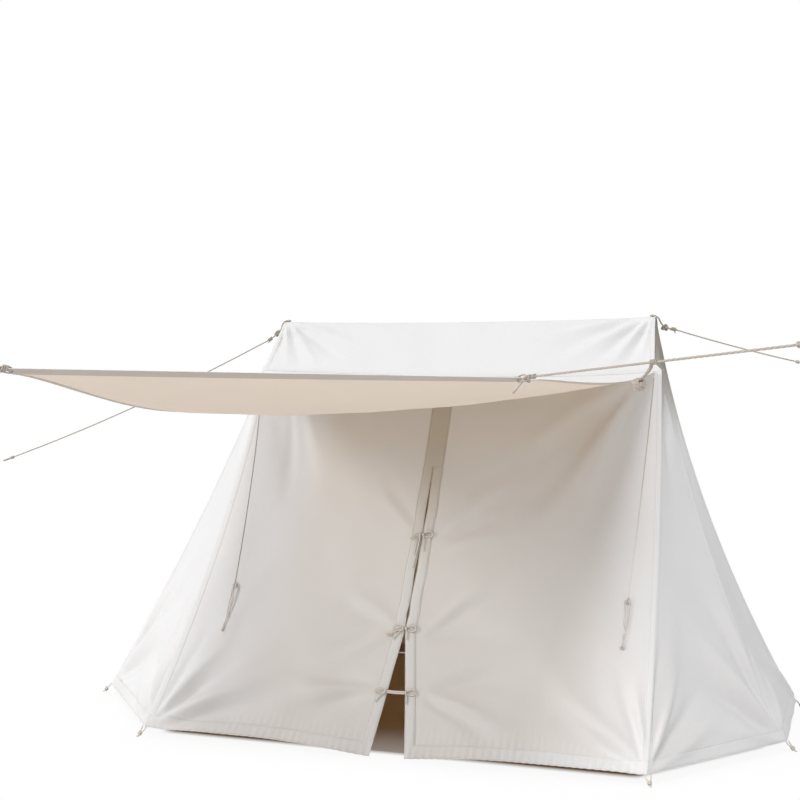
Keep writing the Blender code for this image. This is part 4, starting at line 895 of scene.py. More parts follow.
def strip(name, panel, s, t, body="tent", look=None, height=0.0026, replaces=(), edge=0.2,
          sewn=(2, -3)):
    """A band of cloth sewn on a panel: rounded edges, and stitches sunk in a dip along them."""
    short = int(s.shape[0] >= s.shape[1])
    profile = np.ones(s.shape[short])
    profile[[0, -1]] = edge
    profile[list(sewn)] = 0.45
    lift = height * (profile if short else profile[:, None]) + 0 * s
    normal, base = panel.normal(s, t), panel.at(s, t)
    outer = base + normal * lift[..., None]
    points, faces, _ = grid_shell(outer, base + normal * 0.0001)
    slots = [0] * len(faces)
    x, y, _ = panel.place(s, t)
    uv = twice(x + 0.37, y + 0.11)
    for place in sewn:
        line, up = np.take(outer, place, short), np.take(normal, place, short)
        more, threads = stitches(line + up * 0.0003, up)
        faces += [[i + len(points) for i in face] for face in threads]
        slots += [1] * len(threads)
        points = np.concatenate((points, more))
        uv = np.concatenate((uv, np.zeros((len(more), 2))))
    looks = [look or panel.look or BAND, THREAD]
    build(name, points, faces, looks, body, uv, slots, replaces=replaces)


def across_band(width):
    """Distances across a band: close together at its edges and its two stitch lines."""
    edge = np.array((0.0, 0.0015, 0.004, 0.0065))
    middle = np.linspace(edge[-1], width - edge[-1], max(2, int(width / 0.008)))[1:-1]
    return np.concatenate((edge, middle, (width - edge)[::-1]))


def grid(ss, ts):
    return np.meshgrid(np.asarray(ss, float), np.asarray(ts, float))


def steps(low, high, size, length):
    return np.linspace(low, high, max(2, int(round(abs(high - low) * length / size)) + 1))


def from_edge(s, right):
    """Shares that count from the left edge, or from the right one."""
    return 1 - s[..., ::-1] if right else s


def smooth_path(route, spacing):
    """A smooth line through points, with a point about every spacing."""
    route = np.asarray(route, float)
    run = run_along(route)
    slope = np.gradient(route, run, axis=0)
    points = []
    for i, long in enumerate(np.diff(run)):
        count = max(2, int(long / spacing))
        u = (np.arange(count) / count)[:, None]
        points.append(
            (2 * u**3 - 3 * u**2 + 1) * route[i] + (u**3 - 2 * u**2 + u) * long * slope[i]
            + (3 * u**2 - 2 * u**3) * route[i + 1] + (u**3 - u**2) * long * slope[i + 1]
        )
    return np.concatenate(points + [route[-1:]])


def rope_mesh(path, radius, pitch, swell=None, around=12, closed=False):
    """A laid rope along a path, of three strands: its points, faces, painted shade of its hollows,
    and uv.
    """
    run = run_along(path)
    if closed:
        tangents = norm(np.roll(path, -1, 0) - np.roll(path, 1, 0))
        whole = run[-1] + np.linalg.norm(path[0] - path[-1])
        pitch = whole / max(1, round(whole / pitch))
    else:
        tangents = norm(np.gradient(path, axis=0))
    girth = np.ones(len(path)) if swell is None else np.interp(run / run[-1], *swell)
    angle = np.arange(around) * 2 * math.pi / around
    side = norm(np.cross(tangents[0], (0.31, 0.17, 0.93)))
    points, groove_shades = [], []
    for here, tangent, far, size in zip(path, tangents, run, radius * girth):
        side = norm(side - tangent * np.dot(side, tangent))
        lobe = np.cos(1.5 * (angle - 2 * math.pi * far / pitch)) ** 2
        reach = size * (0.8 + 0.2 * lobe)
        ring = np.outer(reach * np.cos(angle), side)
        points.append(here + ring + np.outer(reach * np.sin(angle), np.cross(tangent, side)))
        # Painted shade, strongest in the hollows between the strands.
        groove_shades.append((1 - lobe) ** 2)
    uv = stack(angle * radius, run[:, None]).reshape(-1, 2)
    faces = tube_faces(len(path), around, closed)
    return np.concatenate(points), faces, np.concatenate(groove_shades), uv


def tube(route, spacing, radius, pitch, around=9, swell=None):
    return rope_mesh(smooth_path(route, spacing), radius, pitch, swell, around)


def coil(centre, along, inner, radius, turns, lean, pitch, around=9):
    """Tight turns of cord round something that runs along."""
    along = norm(along)
    side = norm(np.cross(along, (0.2, 0.9, 0.4)))
    ring = inner + radius * 0.9
    u = np.linspace(-0.5, 0.5, int(turns * 14) + 1)
    angle = 2 * math.pi * turns * u
    path = centre + np.outer(u * turns * radius * 2.05, along)
    path = path + np.outer(ring * np.cos(angle), side + along * lean)
    path = path + np.outer(ring * np.sin(angle), np.cross(along, side))
    return rope_mesh(path, radius, pitch, around=around)


def overhand(centre, normal, size, radius, pitch):
    """A plain knot, flat side along normal."""
    normal = norm(normal)
    side = norm(np.cross(normal, (0.3, 0.2, 0.93)))
    t = 2 * math.pi * np.arange(48) / 48
    x = (np.sin(t) + 2 * np.sin(2 * t)) / 3
    y = (np.cos(t) - 2 * np.cos(2 * t)) / 3
    flat = np.outer(x, side) + np.outer(y, np.cross(normal, side))
    path = centre + size * (flat - np.outer(np.sin(3 * t) / 3, normal))
    return rope_mesh(path, radius, pitch, around=9, closed=True)


def ribbon(path, face, width):
    """A tape along a path, its flat side to face: points, faces, painted shade and uv like a
    rope's.
    """
    thick, around = 0.0022, 10
    tangents = norm(np.gradient(path, axis=0))
    wide = norm(np.cross(np.broadcast_to(face, tangents.shape), tangents))
    flat = np.cross(tangents, wide)
    angle = np.arange(around) * 2 * math.pi / around
    across = np.sign(np.cos(angle)) * np.abs(np.cos(angle)) ** 0.6 * width / 2
    out = np.sign(np.sin(angle)) * np.abs(np.sin(angle)) ** 0.8 * thick / 2
    points = path[:, None] + wide[:, None] * across[:, None] + flat[:, None] * out[:, None]
    uv = stack(across, run_along(path)[:, None]).reshape(-1, 2)
    # Painted shade along both edges of the tape, a dark outline.
    groove_shade = np.tile(np.abs(np.sin(angle)) < 0.6, len(path)) * 0.8
    return points.reshape(-1, 3), tube_faces(len(path), around), groove_shade, uv


def rope_piece(name, meshes, body="tent", look=ROPE, replaces=()):
    """One piece from several ropes or tapes."""
    starts = np.cumsum([0] + [len(mesh[0]) for mesh in meshes]).tolist()
    faces = [[start + i for i in face] for start, mesh in zip(starts, meshes) for face in mesh[1]]
    points, groove_shade, uv = (np.concatenate([mesh[i] for mesh in meshes]) for i in (0, 2, 3))
    return build(
        name, points, faces, [look], body, uv, groove_shade=groove_shade, replaces=replaces
    )


# Ropes: their routes are those of the solids.
GUY_RADIUS = 0.0036
AWNING_ROPE_RADIUS = 0.004
SEAM_GAP = 0.0003
ROPE_END_LOOP = 0.075
SPIKE_X = {side: RIDGE_END[side] - side * SPIKE_INSET for side in (-1, 1)}
RIDGE_ROPES = {-1: (math.radians(23.8), 1.86, 0.03), 1: (math.radians(18.2), 0.66, 0.006)}
RIDGE_KNOTS = {-1: ((0.068, 1.936), (0.112, 1.905)), 1: ((0.062, 1.946), (0.104, 1.937))}
AWNING_ROPE_LENGTH = {-1: 0.25, 1: 0.97}
AWNING_ROPE_RISE = 0.088
AWNING_ROPE_TURN = math.radians(30)
TAIL_DROP = {-1: 0.043 * 0.3, 1: 0.043}
HITCH_SHARE = 0.5


def end_loop(name, tip, along, radius, body, node):
    """The spliced loop in which a rope ends, with its whipping."""
    along = norm(along)
    angle = 2 * math.pi * np.arange(44) / 44
    ahead = ROPE_END_LOOP * (1 - np.cos(angle)) / 2
    off = ROPE_END_LOOP * 0.45 / 2 * np.sin(angle) * (0.95 - 0.05 * np.cos(angle))
    path = tip + along * (radius + SEAM_GAP) + np.outer(ahead, along)
    path = path + np.outer(off, norm(np.cross(along, UP)))
    whipping = coil(
        tip + along * radius * 4.2, along, radius * 1.5, radius * 0.45, 5, 0, 0.012, around=7
    )
    meshes = [rope_mesh(path, radius, 0.024, closed=True), whipping]
    return rope_piece(name, meshes, body, replaces=(node,))


def declare_rope(path):
    float(run_along(path)[-1])


def ridge_rope(side, word):
    """A guy rope: looped over the spike, knotted twice close to the canvas, then stretched out."""
    slope, length, sag = RIDGE_ROPES[side]
    seat = ridge_line(SPIKE_X[side]) + 0.0037 + GUY_RADIUS
    centre = np.array((SPIKE_X[side], RIDGE_BACK, seat))
    out = np.array((side, 0.0, 0.0))
    solid_low = centre + out * (SPIKE_INSET + 0.03) - UP * (0.03 - GUY_RADIUS) * 0.8
    down = norm(out * math.cos(slope) - UP * math.sin(slope))
    end = solid_low + down * (GUY_RADIUS * 1.05 + SEAM_GAP) + down * length

    def at(away, height, aside=0.0):
        return np.array((SPIKE_X[side] + side * away, RIDGE_BACK + aside, height))

    (away, height), second = RIDGE_KNOTS[side]
    first, second = at(away, height), at(*second)
    route = [at(0.012, seat - 0.0005, 0.0085), at(0.026, seat - 0.008, 0.008),
             at(away * 0.72, height + 0.02, 0.006), first, second]
    share = np.concatenate(([0.03, 0.08], np.linspace(0.15, 1, 8)))
    route += [between(second, end, u) - UP * sag * bow(u) for u in share]
    path = smooth_path(route, 0.006)
    rope = rope_piece(
        f"{word}_guy_rope", [rope_mesh(path, GUY_RADIUS, 0.026)], look=GUY,
        replaces=(f"ridge_rope_{word}",),
    )
    ring = 0.0085
    turn = np.linspace(math.pi * 0.5, math.pi * 1.5, 9)
    eye = [centre + (side * ring * math.cos(a), ring * math.sin(a), 0) for a in turn]
    strand = [at(0.014, seat - 0.001, -ring), at(0.028, seat - 0.01, -0.008),
              at(away * 0.72, height + 0.018, -0.006), first - (0, 0.003, 0)]
    slant = second - first
    eye_piece = rope_piece(f"{word}_ridge_rope_eye", [
        tube([at(0.01, seat, ring)] + eye + strand, 0.003, GUY_RADIUS * 0.95, 0.022, 12),
        coil(first, slant, 0.0062, 0.004, 3.5, 0.35, 0.02),
        overhand(first + (0, -0.005, -0.002), (0, 1, 0.2), 0.016, 0.004, 0.02),
    ], look=GUY, replaces=(f"{word}_ridge_knot",))
    tail = [second, second - UP * 0.008 + out * 0.004, second + (side * 0.01, -0.006, -0.02)]
    twisted = rope_piece(f"{word}_guy_knots", [
        coil(second, slant, GUY_RADIUS, 0.0036, 3.5, 0.2, 0.018), tube(tail, 0.003, 0.003, 0.015),
    ], look=GUY)
    far = end_loop(
        f"{word}_guy_end_loop", end, path[-1] - path[-8], GUY_RADIUS, "tent",
        f"ridge_rope_{word}_end",
    )
    declare_rope(path)


def awning_rope(side, word):
    """A rope from an eye at the awning's front corner: knotted there and stretched out."""
    cells = ((0.0, 1.0), (0.05 / AWNING_FRONT_WIDTH, 1.0), (0.0, 1 - 0.05 / AWNING_REACH))
    corner, beside, behind = (
        awning_surface(np.array(1 - s if side > 0 else s), np.array(t)) for s, t in cells
    )
    across, back = norm(beside - corner), norm(behind - corner)
    normal = facing(norm(np.cross(across, back)), UP)
    hole = corner + across * 0.024 + back * 0.024
    out = np.array((side * math.cos(AWNING_ROPE_TURN), -math.sin(AWNING_ROPE_TURN), 0.0))
    level = norm(corner + out * 0.01 - hole)
    level = norm(level - normal * np.dot(level, normal))
    reach = np.dot(corner - hole, level) + 0.01
    depth = 0.0039
    centre = hole + level * reach / 2 - normal * depth / 2
    angle = 2 * math.pi * np.arange(40) / 40
    ahead = -np.copysign(np.abs(np.cos(angle)) ** 0.7, np.cos(angle)) * reach / 2
    loop = centre + np.outer(ahead, level) + np.outer(np.sin(angle) * (depth / 2 + 0.01), normal)
    tip = centre + level * (reach / 2 + 0.003 + 0.0004)
    length = AWNING_ROPE_LENGTH[side]
    end = tip + out * length + UP * AWNING_ROPE_RISE * length
    path = smooth_path(tip + np.outer(np.linspace(0, 1, 9), end - tip), 0.006)
    along = norm(end - tip)
    eye = [rope_mesh(loop, 0.003, 0.016, closed=True)]
    if side < 0:
        seizing = centre + level * (reach / 2 - 0.011)
        eye.append(coil(seizing, level, 0.0095, 0.0038, 3, 0.3, 0.016))
    eye = rope_piece(
        f"{word}_awning_rope_eye", eye, "awning", replaces=(f"awning_{word}_knot",)
    )
    rope = rope_piece(
        f"{word}_awning_guy_rope", [rope_mesh(path, AWNING_ROPE_RADIUS, 0.026)], "awning",
        replaces=(f"awning_rope_{word}",),
    )
    tail_start = tip - along * 0.007 - UP * 0.006 - (0, 0.006, 0)
    fall = np.array((-0.8, -0.2, -1.0)) * TAIL_DROP[side]
    tail = [tail_start + fall * share for share in (0.0, 0.25, 0.6, 1.0)]
    tail[2] = tail[2] + (0.002, 0, 0)
    twisted = rope_piece(f"{word}_awning_knots", [
        coil(tip + along * place, along, AWNING_ROPE_RADIUS, 0.0026, turns, 0.25, 0.016, around=8)
        for place, turns in ((0.012, 3.5), (0.034, 2.0))
    ] + [
        tube(tail, 0.004, 0.0034, 0.016, swell=([0, 0.93, 1], [1, 1, 1.25])),
        overhand(tip + along * 0.004 - (0, 0.004, 0.006), (0, 1, 0.3), 0.012, 0.0036, 0.016),
    ], "awning")
    far = end_loop(
        f"{word}_awning_end_loop", end, end - tip, AWNING_ROPE_RADIUS, "awning",
        f"awning_rope_{word}_end",
    )
    if side > 0:
        awning_hitch(between(tip, end, HITCH_SHARE), along)
    declare_rope(path)


def awning_hitch(place, along):
    """The rope's spare length: hitched round it and wound into a ball that hangs below."""
    meshes = [
        coil(place + along * off, along, inner, 0.003, turns, 0.35, 0.015)
        for off, turns, inner in ((0.016, 2.5, 0.0035), (0.03, 1.5, 0.0032))
    ]
    ball = place - UP * 0.06 - along * 0.033
    for off, lean in ((0.012, 0.005), (0.02, -0.005)):
        meshes.append(tube([
            place + along * off - UP * 0.002,
            place + along * (off * 0.6 - 0.004) - (0, lean, 0.02),
            place + along * (off * 0.2 - 0.018) - (0, lean, 0.038),
            ball + UP * 0.011 + along * 0.004,
        ], 0.004, 0.0036, 0.016))
    side, tilted = norm(np.cross(along, UP)), norm(UP * 0.8 + along * 0.6)
    windings = (along, 2.3, 0.0165), (tilted, 2.4, 0.0185), (norm(side + UP * 0.5), 2.2, 0.0172)
    for number, (axis, turns, size) in enumerate(windings):
        u = np.linspace(0, 1, int(turns * 26))
        a = norm(np.cross(axis, (0.3, 0.5, 0.8)))
        theta = 2 * math.pi * turns * u + number
        ring = size * (1 - 0.15 * (2 * u - 1) ** 2)
        wound = np.outer(ring * np.cos(theta), a) + np.outer((u - 0.5) * 0.0068 * turns, axis)
        wound = ball + wound + np.outer(ring * np.sin(theta), np.cross(axis, a))
        meshes.append(rope_mesh(wound, 0.0042, 0.018, around=10))
    tail = [ball + along * ahead - UP * drop
            for ahead, drop in ((0.012, 0), (0.02, 0.006), (0.023, 0.014))]
    meshes.append(tube(tail, 0.003, 0.0034, 0.016))
    core = ball + np.outer(np.linspace(-0.011, 0.011, 12), UP)
    meshes.append(rope_mesh(core, 0.0135, 0.03, ([0, 0.25, 0.75, 1], [0.5, 1.0, 1.0, 0.5])))
    return rope_piece("awning_spare_rope", meshes, "awning", replaces=("awning_rope_hitch",))


for side, word in SIDES:
    ridge_rope(side, word)
    awning_rope(side, word)


# Canvas: roof, back and bell ends. A gore stops just under the ridge, where its seams meet.
GORE_NAMES = ("front_gore", "end_gore", "rear_gore")
GORE_TOP = 0.994
CREST_ROWS = 6


def plain_panel(name, panel, low, high, size, replaces):
    rows = steps(low, min(high, CREST_SHARE), size, RISE)
    rows = np.concatenate((rows, np.linspace(CREST_SHARE, high, CREST_ROWS + 1)[1:]))
    s, t = grid(steps(0, 1, size, max(float(panel.width(0.0)), 0.5)), rows)
    cloth_piece(name, panel, s, t, "tent", (replaces,))


plain_panel("roof_canvas", ROOF, EAVE_SHARE, 1.0, FINE, "front_roof")
plain_panel("back_canvas", BACK, 0.0, 1.0, COARSE, "back_panel")
for side, word in SIDES:
    for panel, part, size in zip(GORES[side], GORE_NAMES, (FINE, FINE, COARSE)):
        plain_panel(f"{word}_{part}_canvas", panel, 0.0, GORE_TOP, size, f"{word}_{part}")


# Front wall: one sheet each side, its door flap in one with it.
HEM_HEIGHT = 0.0032
TAPE_HEIGHT = 0.0014
TAPE_WIDTH = 0.024
CORNER_TAPE_WIDTH = 0.026
SEAM_WIDTH = 0.016


def flap_blend(side, word):
    low, top = np.array(0.0), np.array(DOOR_SHARE)
    foot = WALL.base(np.array((1 + side) / 2) - side * CREASE_FOOT / FRONT_EDGE, low)
    line = norm(WALL.base(door_edge(side, top), top) - foot)
    toward = WALL.base(door_edge(side, low), low) - foot
    toward = norm(toward - line * np.dot(toward, line))
    start = foot - CENTRE
    return ("tent", f"{word}_door_flap", tuple(start), tuple(start + toward * 0.1))


def half_wall(side, share, t):
    """Share across the whole wall of a share of its half, up to the edge beside the slit."""
    closed = np.clip((t - DOOR_SHARE) * RISE / 0.006, 0, 1)
    edge = door_edge(side, t, 0.0, 0.0) + side * slit_gap(t) / 2 * (1 - closed) / FRONT_EDGE
    return share * edge if side < 0 else edge + (1 - edge) * share


def edge_tape(name, panel, right, low, high, body="tent", width=TAPE_WIDTH, step=TAPE_STEP):
    off, t = grid(across_band(width), steps(low, high, step, RISE))
    s = np.minimum(off / panel.width(t), 0.5)
    strip(name, panel, from_edge(s, right), t, body, height=TAPE_HEIGHT,
          sewn=(2,) if right else (-3,))


for side, word in SIDES:
    bends = flap_blend(side, word)
    share, t = grid(steps(0, 1, FINE, HALF), steps(0, EAVE_SHARE, FINE, RISE))
    cloth_piece(f"{word}_front_canvas", WALL, half_wall(side, share, t), t, bends,
                (f"{word}_wall", f"{word}_flap"))
    share, t = grid(steps(0, 1, BAND_STEP, HALF), across_band(HEM_WIDTH) / RISE)
    strip(f"{word}_front_hem", WALL, half_wall(side, share, t), t, bends, height=HEM_HEIGHT,
          edge=0.7)
    off, t = grid(across_band(PLACKET_WIDTH), steps(0, DOOR_SHARE, BAND_STEP, RISE))
    strip(
        f"{word}_placket_band", WALL, door_edge(side, t, off)[:, ::side], t, bends, PLACKET,
        0.0034 if side > 0 else 0.0026, (f"{word}_placket",), edge=0.5,
    )
    edge_tape(f"{word}_front_corner_tape", WALL, side > 0, 0, EAVE_SHARE, bends,
              CORNER_TAPE_WIDTH, BAND_STEP)

# Band over the sewn head of the slit.
half = across_band(PLACKET_WIDTH)
top_share = EAVE_SHARE - PLACKET_MARGIN / RISE
off, t = grid(
    np.concatenate((-half[::-1], half[1:])), steps(DOOR_SHARE + 0.002, top_share, BAND_STEP, RISE)
)
s = np.where(off < 0, door_edge(-1, t, -off, 0.0), door_edge(1, t, off, 0.0))
strip("upper_placket_band", WALL, s, t, "tent", PLACKET, HEM_HEIGHT, ("upper_placket",), edge=0.5)


# Tapes along the other seams, hems along the other feet.
def foot_hem(name, panel):
    s, t = grid(steps(0, 1, TAPE_STEP, float(panel.width(0.0))), across_band(HEM_WIDTH) / RISE)
    strip(name, panel, s, t, height=HEM_HEIGHT, edge=0.7)


for side, word in SIDES:
    for panel, part in zip(GORES[side], GORE_NAMES):
        foot_hem(f"{word}_{part}_hem", panel)
        for right in (0, 1):
            edge_tape(f"{word}_{part}_tape_{right}", panel, right, 0.0, 0.93)
    edge_tape(f"{word}_roof_tape", ROOF, side > 0, EAVE_SHARE, 0.985)
    edge_tape(f"{word}_back_tape", BACK, side > 0, 0.0, 0.985)
foot_hem("back_hem", BACK)
s, t = grid(steps(0, 1, BAND_STEP, 2.0), EAVE_SHARE + across_band(SEAM_WIDTH) / RISE)
strip("eave_seam", ROOF, s, t, height=0.0034, edge=0.6, sewn=(3,))


# Ridge ends: a stitched patch over the crest, round the spike.
def ridge_patch(side, word):
    places = from_edge(np.linspace(0.004, 0.1 / RIDGE_LENGTH, 12), side > 0)
    low = 1 - 0.085 / RISE
    outer, inner = [], []
    for panel, ts in ((ROOF, np.linspace(low, 1, 14)), (BACK, np.linspace(1, low, 14)[1:])):
        s, t = grid(places, ts)
        rim = np.minimum(np.abs(s - s[:, :1]), np.abs(s - s[:, -1:])) * RIDGE_LENGTH
        rim = np.minimum(rim, (t - low) * RISE)
        outer.append(panel.lifted(s, t, 0.0006 + 0.0012 * np.minimum(rim / 0.012, 1.0)))
        inner.append(panel.lifted(s, t, 0.0002))
    points, faces, _ = grid_shell(np.concatenate(outer), np.concatenate(inner))
    build(f"{word}_ridge_end_patch", points, faces, [CANVAS], "tent", points[:, :2],
          replaces=(f"{word}_ridge_patch",))


for side, word in SIDES:
    ridge_patch(side, word)

# Awning: a hollow sheet, with its hems.
EAVE_Y = float(EAVE_BACK - EAVE_BOW - CENTRE[1])
AWNING_BLEND = (
    "tent", "awning", (0.0, EAVE_Y - 0.004, EAVE_HEIGHT), (0.0, EAVE_Y - 0.12, EAVE_HEIGHT)
)
s, t = grid(steps(0, 1, FINE, AWNING_FRONT_WIDTH), steps(0, 1, FINE, AWNING_REACH))
cloth_piece("awning_canvas", AWNING, s, t, AWNING_BLEND, ("awning",), [FLY, AWNING_UNDER_PAINTED_SHADE])


def under_strip(name, s, t, body, replaces=()):
    """A band on the under side of the awning, coloured with grey-brown painted shade."""
    lift = np.full(s.shape, 0.0013)
    lift[[0, -1]] *= 0.4
    down = -CLOTH - 0.0001
    points, faces, _ = grid_shell(AWNING.lifted(s, t, down - lift), AWNING.lifted(s, t, down))
    uv = twice(*AWNING.place(s, t)[:2])
    build(name, points, faces, [HEM_PAINTED_SHADE], body, uv, replaces=replaces)


hem_shares = across_band(AWNING_HEM) / AWNING_REACH
s, t = grid(steps(0, 1, BAND_STEP, AWNING_FRONT_WIDTH), 1 - hem_shares[::-1])
under_strip("awning_front_hem", s, t, "awning", ("awning_hem",))
for side, word in SIDES:
    off, t = grid(across_band(0.028), steps(0.02, 1 - hem_shares[-1], TAPE_STEP, AWNING_REACH))
    s = from_edge(off / AWNING_FRONT_WIDTH, side > 0)
    under_strip(f"awning_{word}_side_hem", s, t, AWNING_BLEND)


# Cords: peg loops, tie-backs and the door's ties.
CORNERS = ("front_corner", "front_end", "rear_end", "rear_corner")
PEG_RADIUS = 0.003
TIE_RADIUS = 0.0025
TIE_STAND = 0.0082


def corner_outward(side, depth):
    here = base_corner(side, depth)
    before = base_corner(side, depth - 1) if depth > 0 else base_corner(-side, 0)
    after = base_corner(side, depth + 1) if depth < 3 else base_corner(-side, 3)
    return -norm(norm(before - here) + norm(after - here))


def peg_loop(side, depth, name):
    """A loop of cord that slants from a corner of the base to the ground, bound at its neck."""
    out = corner_outward(side, depth)
    start = base_corner(side, depth) + out * (PEG_RADIUS + 2 * SEAM_GAP)
    across = norm(np.cross(UP, out))
    tip = start + out * 0.036 - UP * (start[2] - PEG_RADIUS - 0.004) * 0.8
    neck = between(start, tip, 0.7)
    half = ((start + UP * 0.002, 0.013), (between(start, neck, 0.3), 0.0125), (neck, 0.0036),
            (tip, 0.003))
    route = [place + across * off for place, off in half] + [tip + out * 0.008 - UP * 0.001]
    route += [place - across * off for place, off in half[::-1]]
    rope_piece(f"{name}_peg_loop", [
        tube(route, 0.003, PEG_RADIUS, 0.018, 12),
        coil(neck, tip - start, 0.0058, 0.0026, 3, 0.2, 0.013, around=8),
    ], look=CORD, replaces=(f"{name}_loop",))


for side, word in SIDES:
    for depth, corner in enumerate(CORNERS):
        peg_loop(side, depth, f"{word}_{corner}")

# Tie-backs: height and inset of the knot, reach of the cord, how far the seam above leans, and
# the cord's course as distances aside in millimetres and shares of the reach.
TIE_BACKS = {
    -1: (0.672, 0.183, 0.2, -0.004, (
        (-3, 1), (-1, 0.86), (4, 0.74), (0, 0.5), (-4, 0.25), (-6, 0.1), (1, 0), (12, -0.02),
        (23, 0.03), (24, 0.14), (18, 0.4), (8, 0.68), (1, 0.8), (-3, 0.9), (-6, 1),
    )),
    1: (0.695, 0.13, 0.19, 0.035, (
        (-6, 1), (-1, 0.86), (4, 0.74), (-2, 0.45), (-4, 0.2), (-5, 0.08), (2, 0), (9, -0.01),
        (15, 0.04), (15, 0.15), (11, 0.4), (4, 0.68), (-2, 0.8), (1, 0.9), (6, 1),
    )),
}


def tie_back(side, word):
    height, inset, reach, lean, course = TIE_BACKS[side]
    top = np.array((height - HEM_LIFT) / RISE)
    x = seam(side, 0, top)[0] - side * inset
    route = []
    for off, low in course:
        here = top - low * reach / RISE
        lift = TIE_RADIUS + 0.0018 + 0.004 * bow(min(max(low, 0), 1))
        route.append(WALL.lifted(share_across(x + off / 1000, here), here, lift))
    centre = WALL.lifted(share_across(x + 0.004, top), top, 0.008)
    face = WALL.normal(share_across(x, top), top)
    rope_piece(f"{word}_tie_back_cord", [
        tube(route, 0.004, TIE_RADIUS * 1.3, 0.013), overhand(centre, face, 0.0125, 0.0036, 0.013),
        *(coil(last + UP * 0.003, UP, 0.0018, 0.0016, 3, 0, 0.01, around=7)
          for last in (route[0], route[-1])),
    ], look=CORD, replaces=(f"{word}_tie_back",))
    # Seam that holds the tie-back's reinforcement, from the eave corner down to the knot.
    share = np.linspace(0, 1, 120)
    down = between(EAVE_SHARE - 0.03 / RISE, top + 0.012 / RISE, share)
    places = share_across(between(EAVE_END[side] - side * lean, x + side * 0.004, share), down)
    s = places[:, None] + np.array((-0.0028, -0.001, 0.001, 0.0028)) / FRONT_EDGE
    look, thick = (PLACKET, TAPE_HEIGHT) if side > 0 else (SEAM_LOOK, 0.0026)
    strip(f"{word}_tie_back_seam", WALL, s, down[:, None] + 0 * s, "tent", look, thick, edge=0.1,
          sewn=())


for side, word in SIDES:
    tie_back(side, word)

# Courses of the door ties' tapes: width, then moves to the right, down and out in millimetres.
KNOT = (0.0105, (-1, -7.5, -1), (0, -5.5, 3.8), (0.5, 0, 5.2), (0, 5.5, 3.8), (-1, 7.5, -1))
BOW = (0.0072, (0, 0, 0), (-12, -8, 5), (-30, -8, 9), (-45, 1, 6), (-42, 11, 1), (-24, 10, -1),
       (-6, 3, 0))
SHORT_END = (0.0068, (0, 4, 0), (-14, 16, 1), (-30, 34, 0), (-40, 52, -2))
LEFT_TAPES = {
    1: (
        *((0.0052, (0, 1, 1), (-0.3 * reach, low - 6, 4), (-0.8 * reach, low, 4),
           (-reach, low + 5, 1), (-0.7 * reach, low + 9, 0), (0, 6, 0))
          for reach, low in ((36, 4), (46, 16))),
        (0.0066, (3, 4, 1), (1, 50, 2), (-6, 110, 1), (-12, 170, 0)),
        (0.0068, (0, 3, 0), (-10, 30, 2), (-14, 70, 1), (-10, 104, -1), (-3, 98, -1), (-2, 60, 0),
         (2, 20, 0)),
    ),
    2: (
        BOW,
        (0.0068, (0, 2, 1), (-26, 12, 2), (-56, 24, 1), (-74, 30, -1), (-70, 36, -1),
         (-50, 30, -1)),
        SHORT_END,
    ),
    3: (BOW, SHORT_END),
}
RIGHT_BOW = (0.0086, (0, 0, 0), (14, -11, 5), (34, -14, 9), (45, -7, 6), (44, 7, 1), (32, 11, 0),
             (14, 9, 0), (1, 2, 0))
RIGHT_END = (0.0062, (0, 4, 0), (8, 22, 1), (10, 52, 0), (16, 84, -2))


def door_tie(number, height):
    """A bow of tape across the slit: each flap keeps its own half."""
    t = np.array((height - HEM_LIFT) / RISE)
    normal = WALL.normal(door_edge(-1, t), t)
    down = -norm(UP - normal * np.dot(UP, normal))
    across = facing(norm(np.cross(down, normal)), (1, 0, 0))
    left = WALL.at(door_edge(-1, t), t) + normal * TIE_STAND - across * 0.008
    right = WALL.at(door_edge(1, t), t) + normal * TIE_STAND + across * 0.006

    def tape(start, width, *moves):
        route = [start + (across * a + down * b + normal * c) / 1000 for a, b, c in moves]
        return ribbon(smooth_path(route, 0.003), normal, width)

    meshes = [tape(left, *course) for course in (KNOT, *LEFT_TAPES[number])]
    rope_piece(f"left_door_tie_{number}", meshes, "left_door_flap", TAPE, (f"left_tie_{number}",))
    end = RIGHT_END if number == 1 else RIGHT_END[:-1]
    meshes = [tape(right, *course) for course in (KNOT, RIGHT_BOW, end)]
    if np.linalg.norm(right - left) > 0.03:
        for shift in (-0.0036, 0.004):
            route = [
                left + across * 0.003 + down * shift, (left + right) / 2 + down * (shift + 0.002),
                right - across * 0.001 + down * shift,
            ]
            meshes.append(ribbon(smooth_path(route, 0.003), normal, 0.0085))
    rope_piece(
        f"right_door_tie_{number}", meshes, "right_door_flap", TAPE, (f"right_tie_{number}",)
    )


for number, height in enumerate((0.95, 0.54, 0.29), 1):
    door_tie(number, height)

# Finish of the solids that stay.
FINISHES = {
    "upright": WOOD, "ridge_pole": WOOD, "spike_cap": STEEL, "ridge_sleeve": STEEL, "eyelet": BRASS,
}
for name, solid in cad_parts.items():
    for part, look in FINISHES.items():
        if part in name:
            solid.data.materials.clear()
            solid.data.materials.append(look)


# Floor, world and light.
def from_base(x, y):
    """Distance outside the outline of the tent's base; negative inside."""
    ring = [base_corner(1, depth) for depth in range(4)]
    ring += [base_corner(-1, depth) for depth in (3, 2, 1, 0)]
    worst = np.full(x.shape, -1e9)
    for here, after in zip(ring, ring[1:] + ring[:1]):
        along = norm(after - here)
        worst = np.maximum(worst, (x - here[0]) * along[1] - (y - here[1]) * along[0])
    return worst


def smooth(value, low, high):
    share = np.clip((value - low) / (high - low), 0, 1)
    return share * share * (3 - 2 * share)


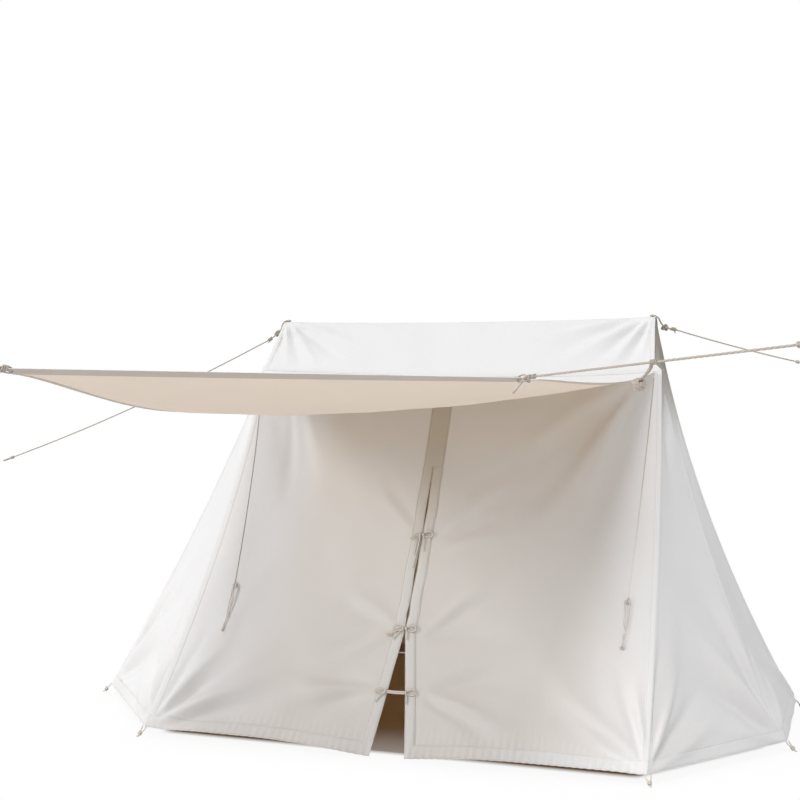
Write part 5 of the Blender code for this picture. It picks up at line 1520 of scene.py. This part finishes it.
def floor():
    """A white ground that goes over into the background, with painted shade: brown inside the
    tent's base, a faint painted contact shadow round it, a painted shadow past the back wall and a
    painted pool of light inside the door.
    """
    places = np.concatenate(((-40, -15, -7), np.linspace(-3.6, 3.6, 241), (7, 15, 40)))
    x, y = np.meshgrid(places + CENTRE[0], places + CENTRE[1] + 0.7)
    points = np.stack((x - CENTRE[0], y - CENTRE[1], 0 * x), -1).reshape(-1, 3)
    mesh = bpy.data.meshes.new("floor")
    mesh.from_pydata(points.tolist(), [], quads(np.arange(x.size).reshape(x.shape)).tolist())
    # Painted shadow: the brown painted shade reaches a little past the back wall near x = -0.7.
    behind = smooth(y, DEPTH - 0.3, DEPTH) * (1 - smooth(np.abs(x + 0.7), 0.16, 0.32))
    outside = from_base(x, y) - 0.125 * behind
    # Painted light: a paler pool on the ground just inside the door.
    doorway_painted_light = 0.14 * smooth(outside, -0.6, -0.12) * (1 - smooth(np.abs(x), 0.12, 0.3))
    # Painted shade: brown inside the base and lit white outside it, with a faint painted contact
    # shadow near its edge.
    lit_ground = smooth(outside, -0.15, -0.105) * (0.93 + 0.07 * smooth(outside, -0.05, 0.3))
    lit = doorway_painted_light + (1 - doorway_painted_light) * lit_ground
    mesh.attributes.new("lit", "FLOAT", "POINT").data.foreach_set("value", lit.ravel())
    look, tree, shader = fresh("floor_look")
    share = add(tree, "Attribute", {}, "Fac", attribute_name="lit")
    # Brown painted shade where the ground is unlit, white floor where lit.
    ground = mixed(tree, (0.68, 0.52, 0.36), (0.88, 0.88, 0.88), share)
    fill(tree, shader, {"Base Color": ground, "Roughness": 0.95, "Specular IOR Level": 0.1})
    seen = calculated(tree, "MULTIPLY", add(tree, "LightPath", {}, "Is Camera Ray"), share)
    glow = add(tree, "Emission", {})
    mix = add(tree, "MixShader", {0: seen, 1: shader.outputs[0], 2: glow})
    fill(tree, tree.nodes["Material Output"], {"Surface": mix})
    mesh.materials.append(look)
    placed("floor", mesh)


def sun(name, toward, strength, spread):
    lamp = bpy.data.lights.new(name, "SUN")
    lamp.energy = strength
    lamp.angle = math.radians(spread)
    placed(name, lamp).rotation_euler = Vector(toward).to_track_quat("Z", "Y").to_euler()


def light_scene():
    scene.world = bpy.data.worlds.new("studio")
    scene.world.use_nodes = True
    tree = scene.world.node_tree
    back = tree.nodes["Background"]
    fill(tree, back, {"Color": (0.965, 0.983, 1.0), "Strength": 0.58})
    white = add(tree, "Background", {"Color": (1, 1, 1)})
    seen = add(tree, "LightPath", {}, "Is Camera Ray")
    mix = add(tree, "MixShader", {0: seen, 1: back.outputs[0], 2: white})
    fill(tree, tree.nodes["World Output"], {"Surface": mix})
    sun("key", (0.1, -0.6, 1.0), 1.28, 18)
    sun("left_fill", (-1.0, -0.58, 0.5), 1.2, 20)
    sun("right_fill", (0.45, -1.0, 0.25), 0.04, 40)


floor()
light_scene()
scene.view_settings.view_transform = "Standard"
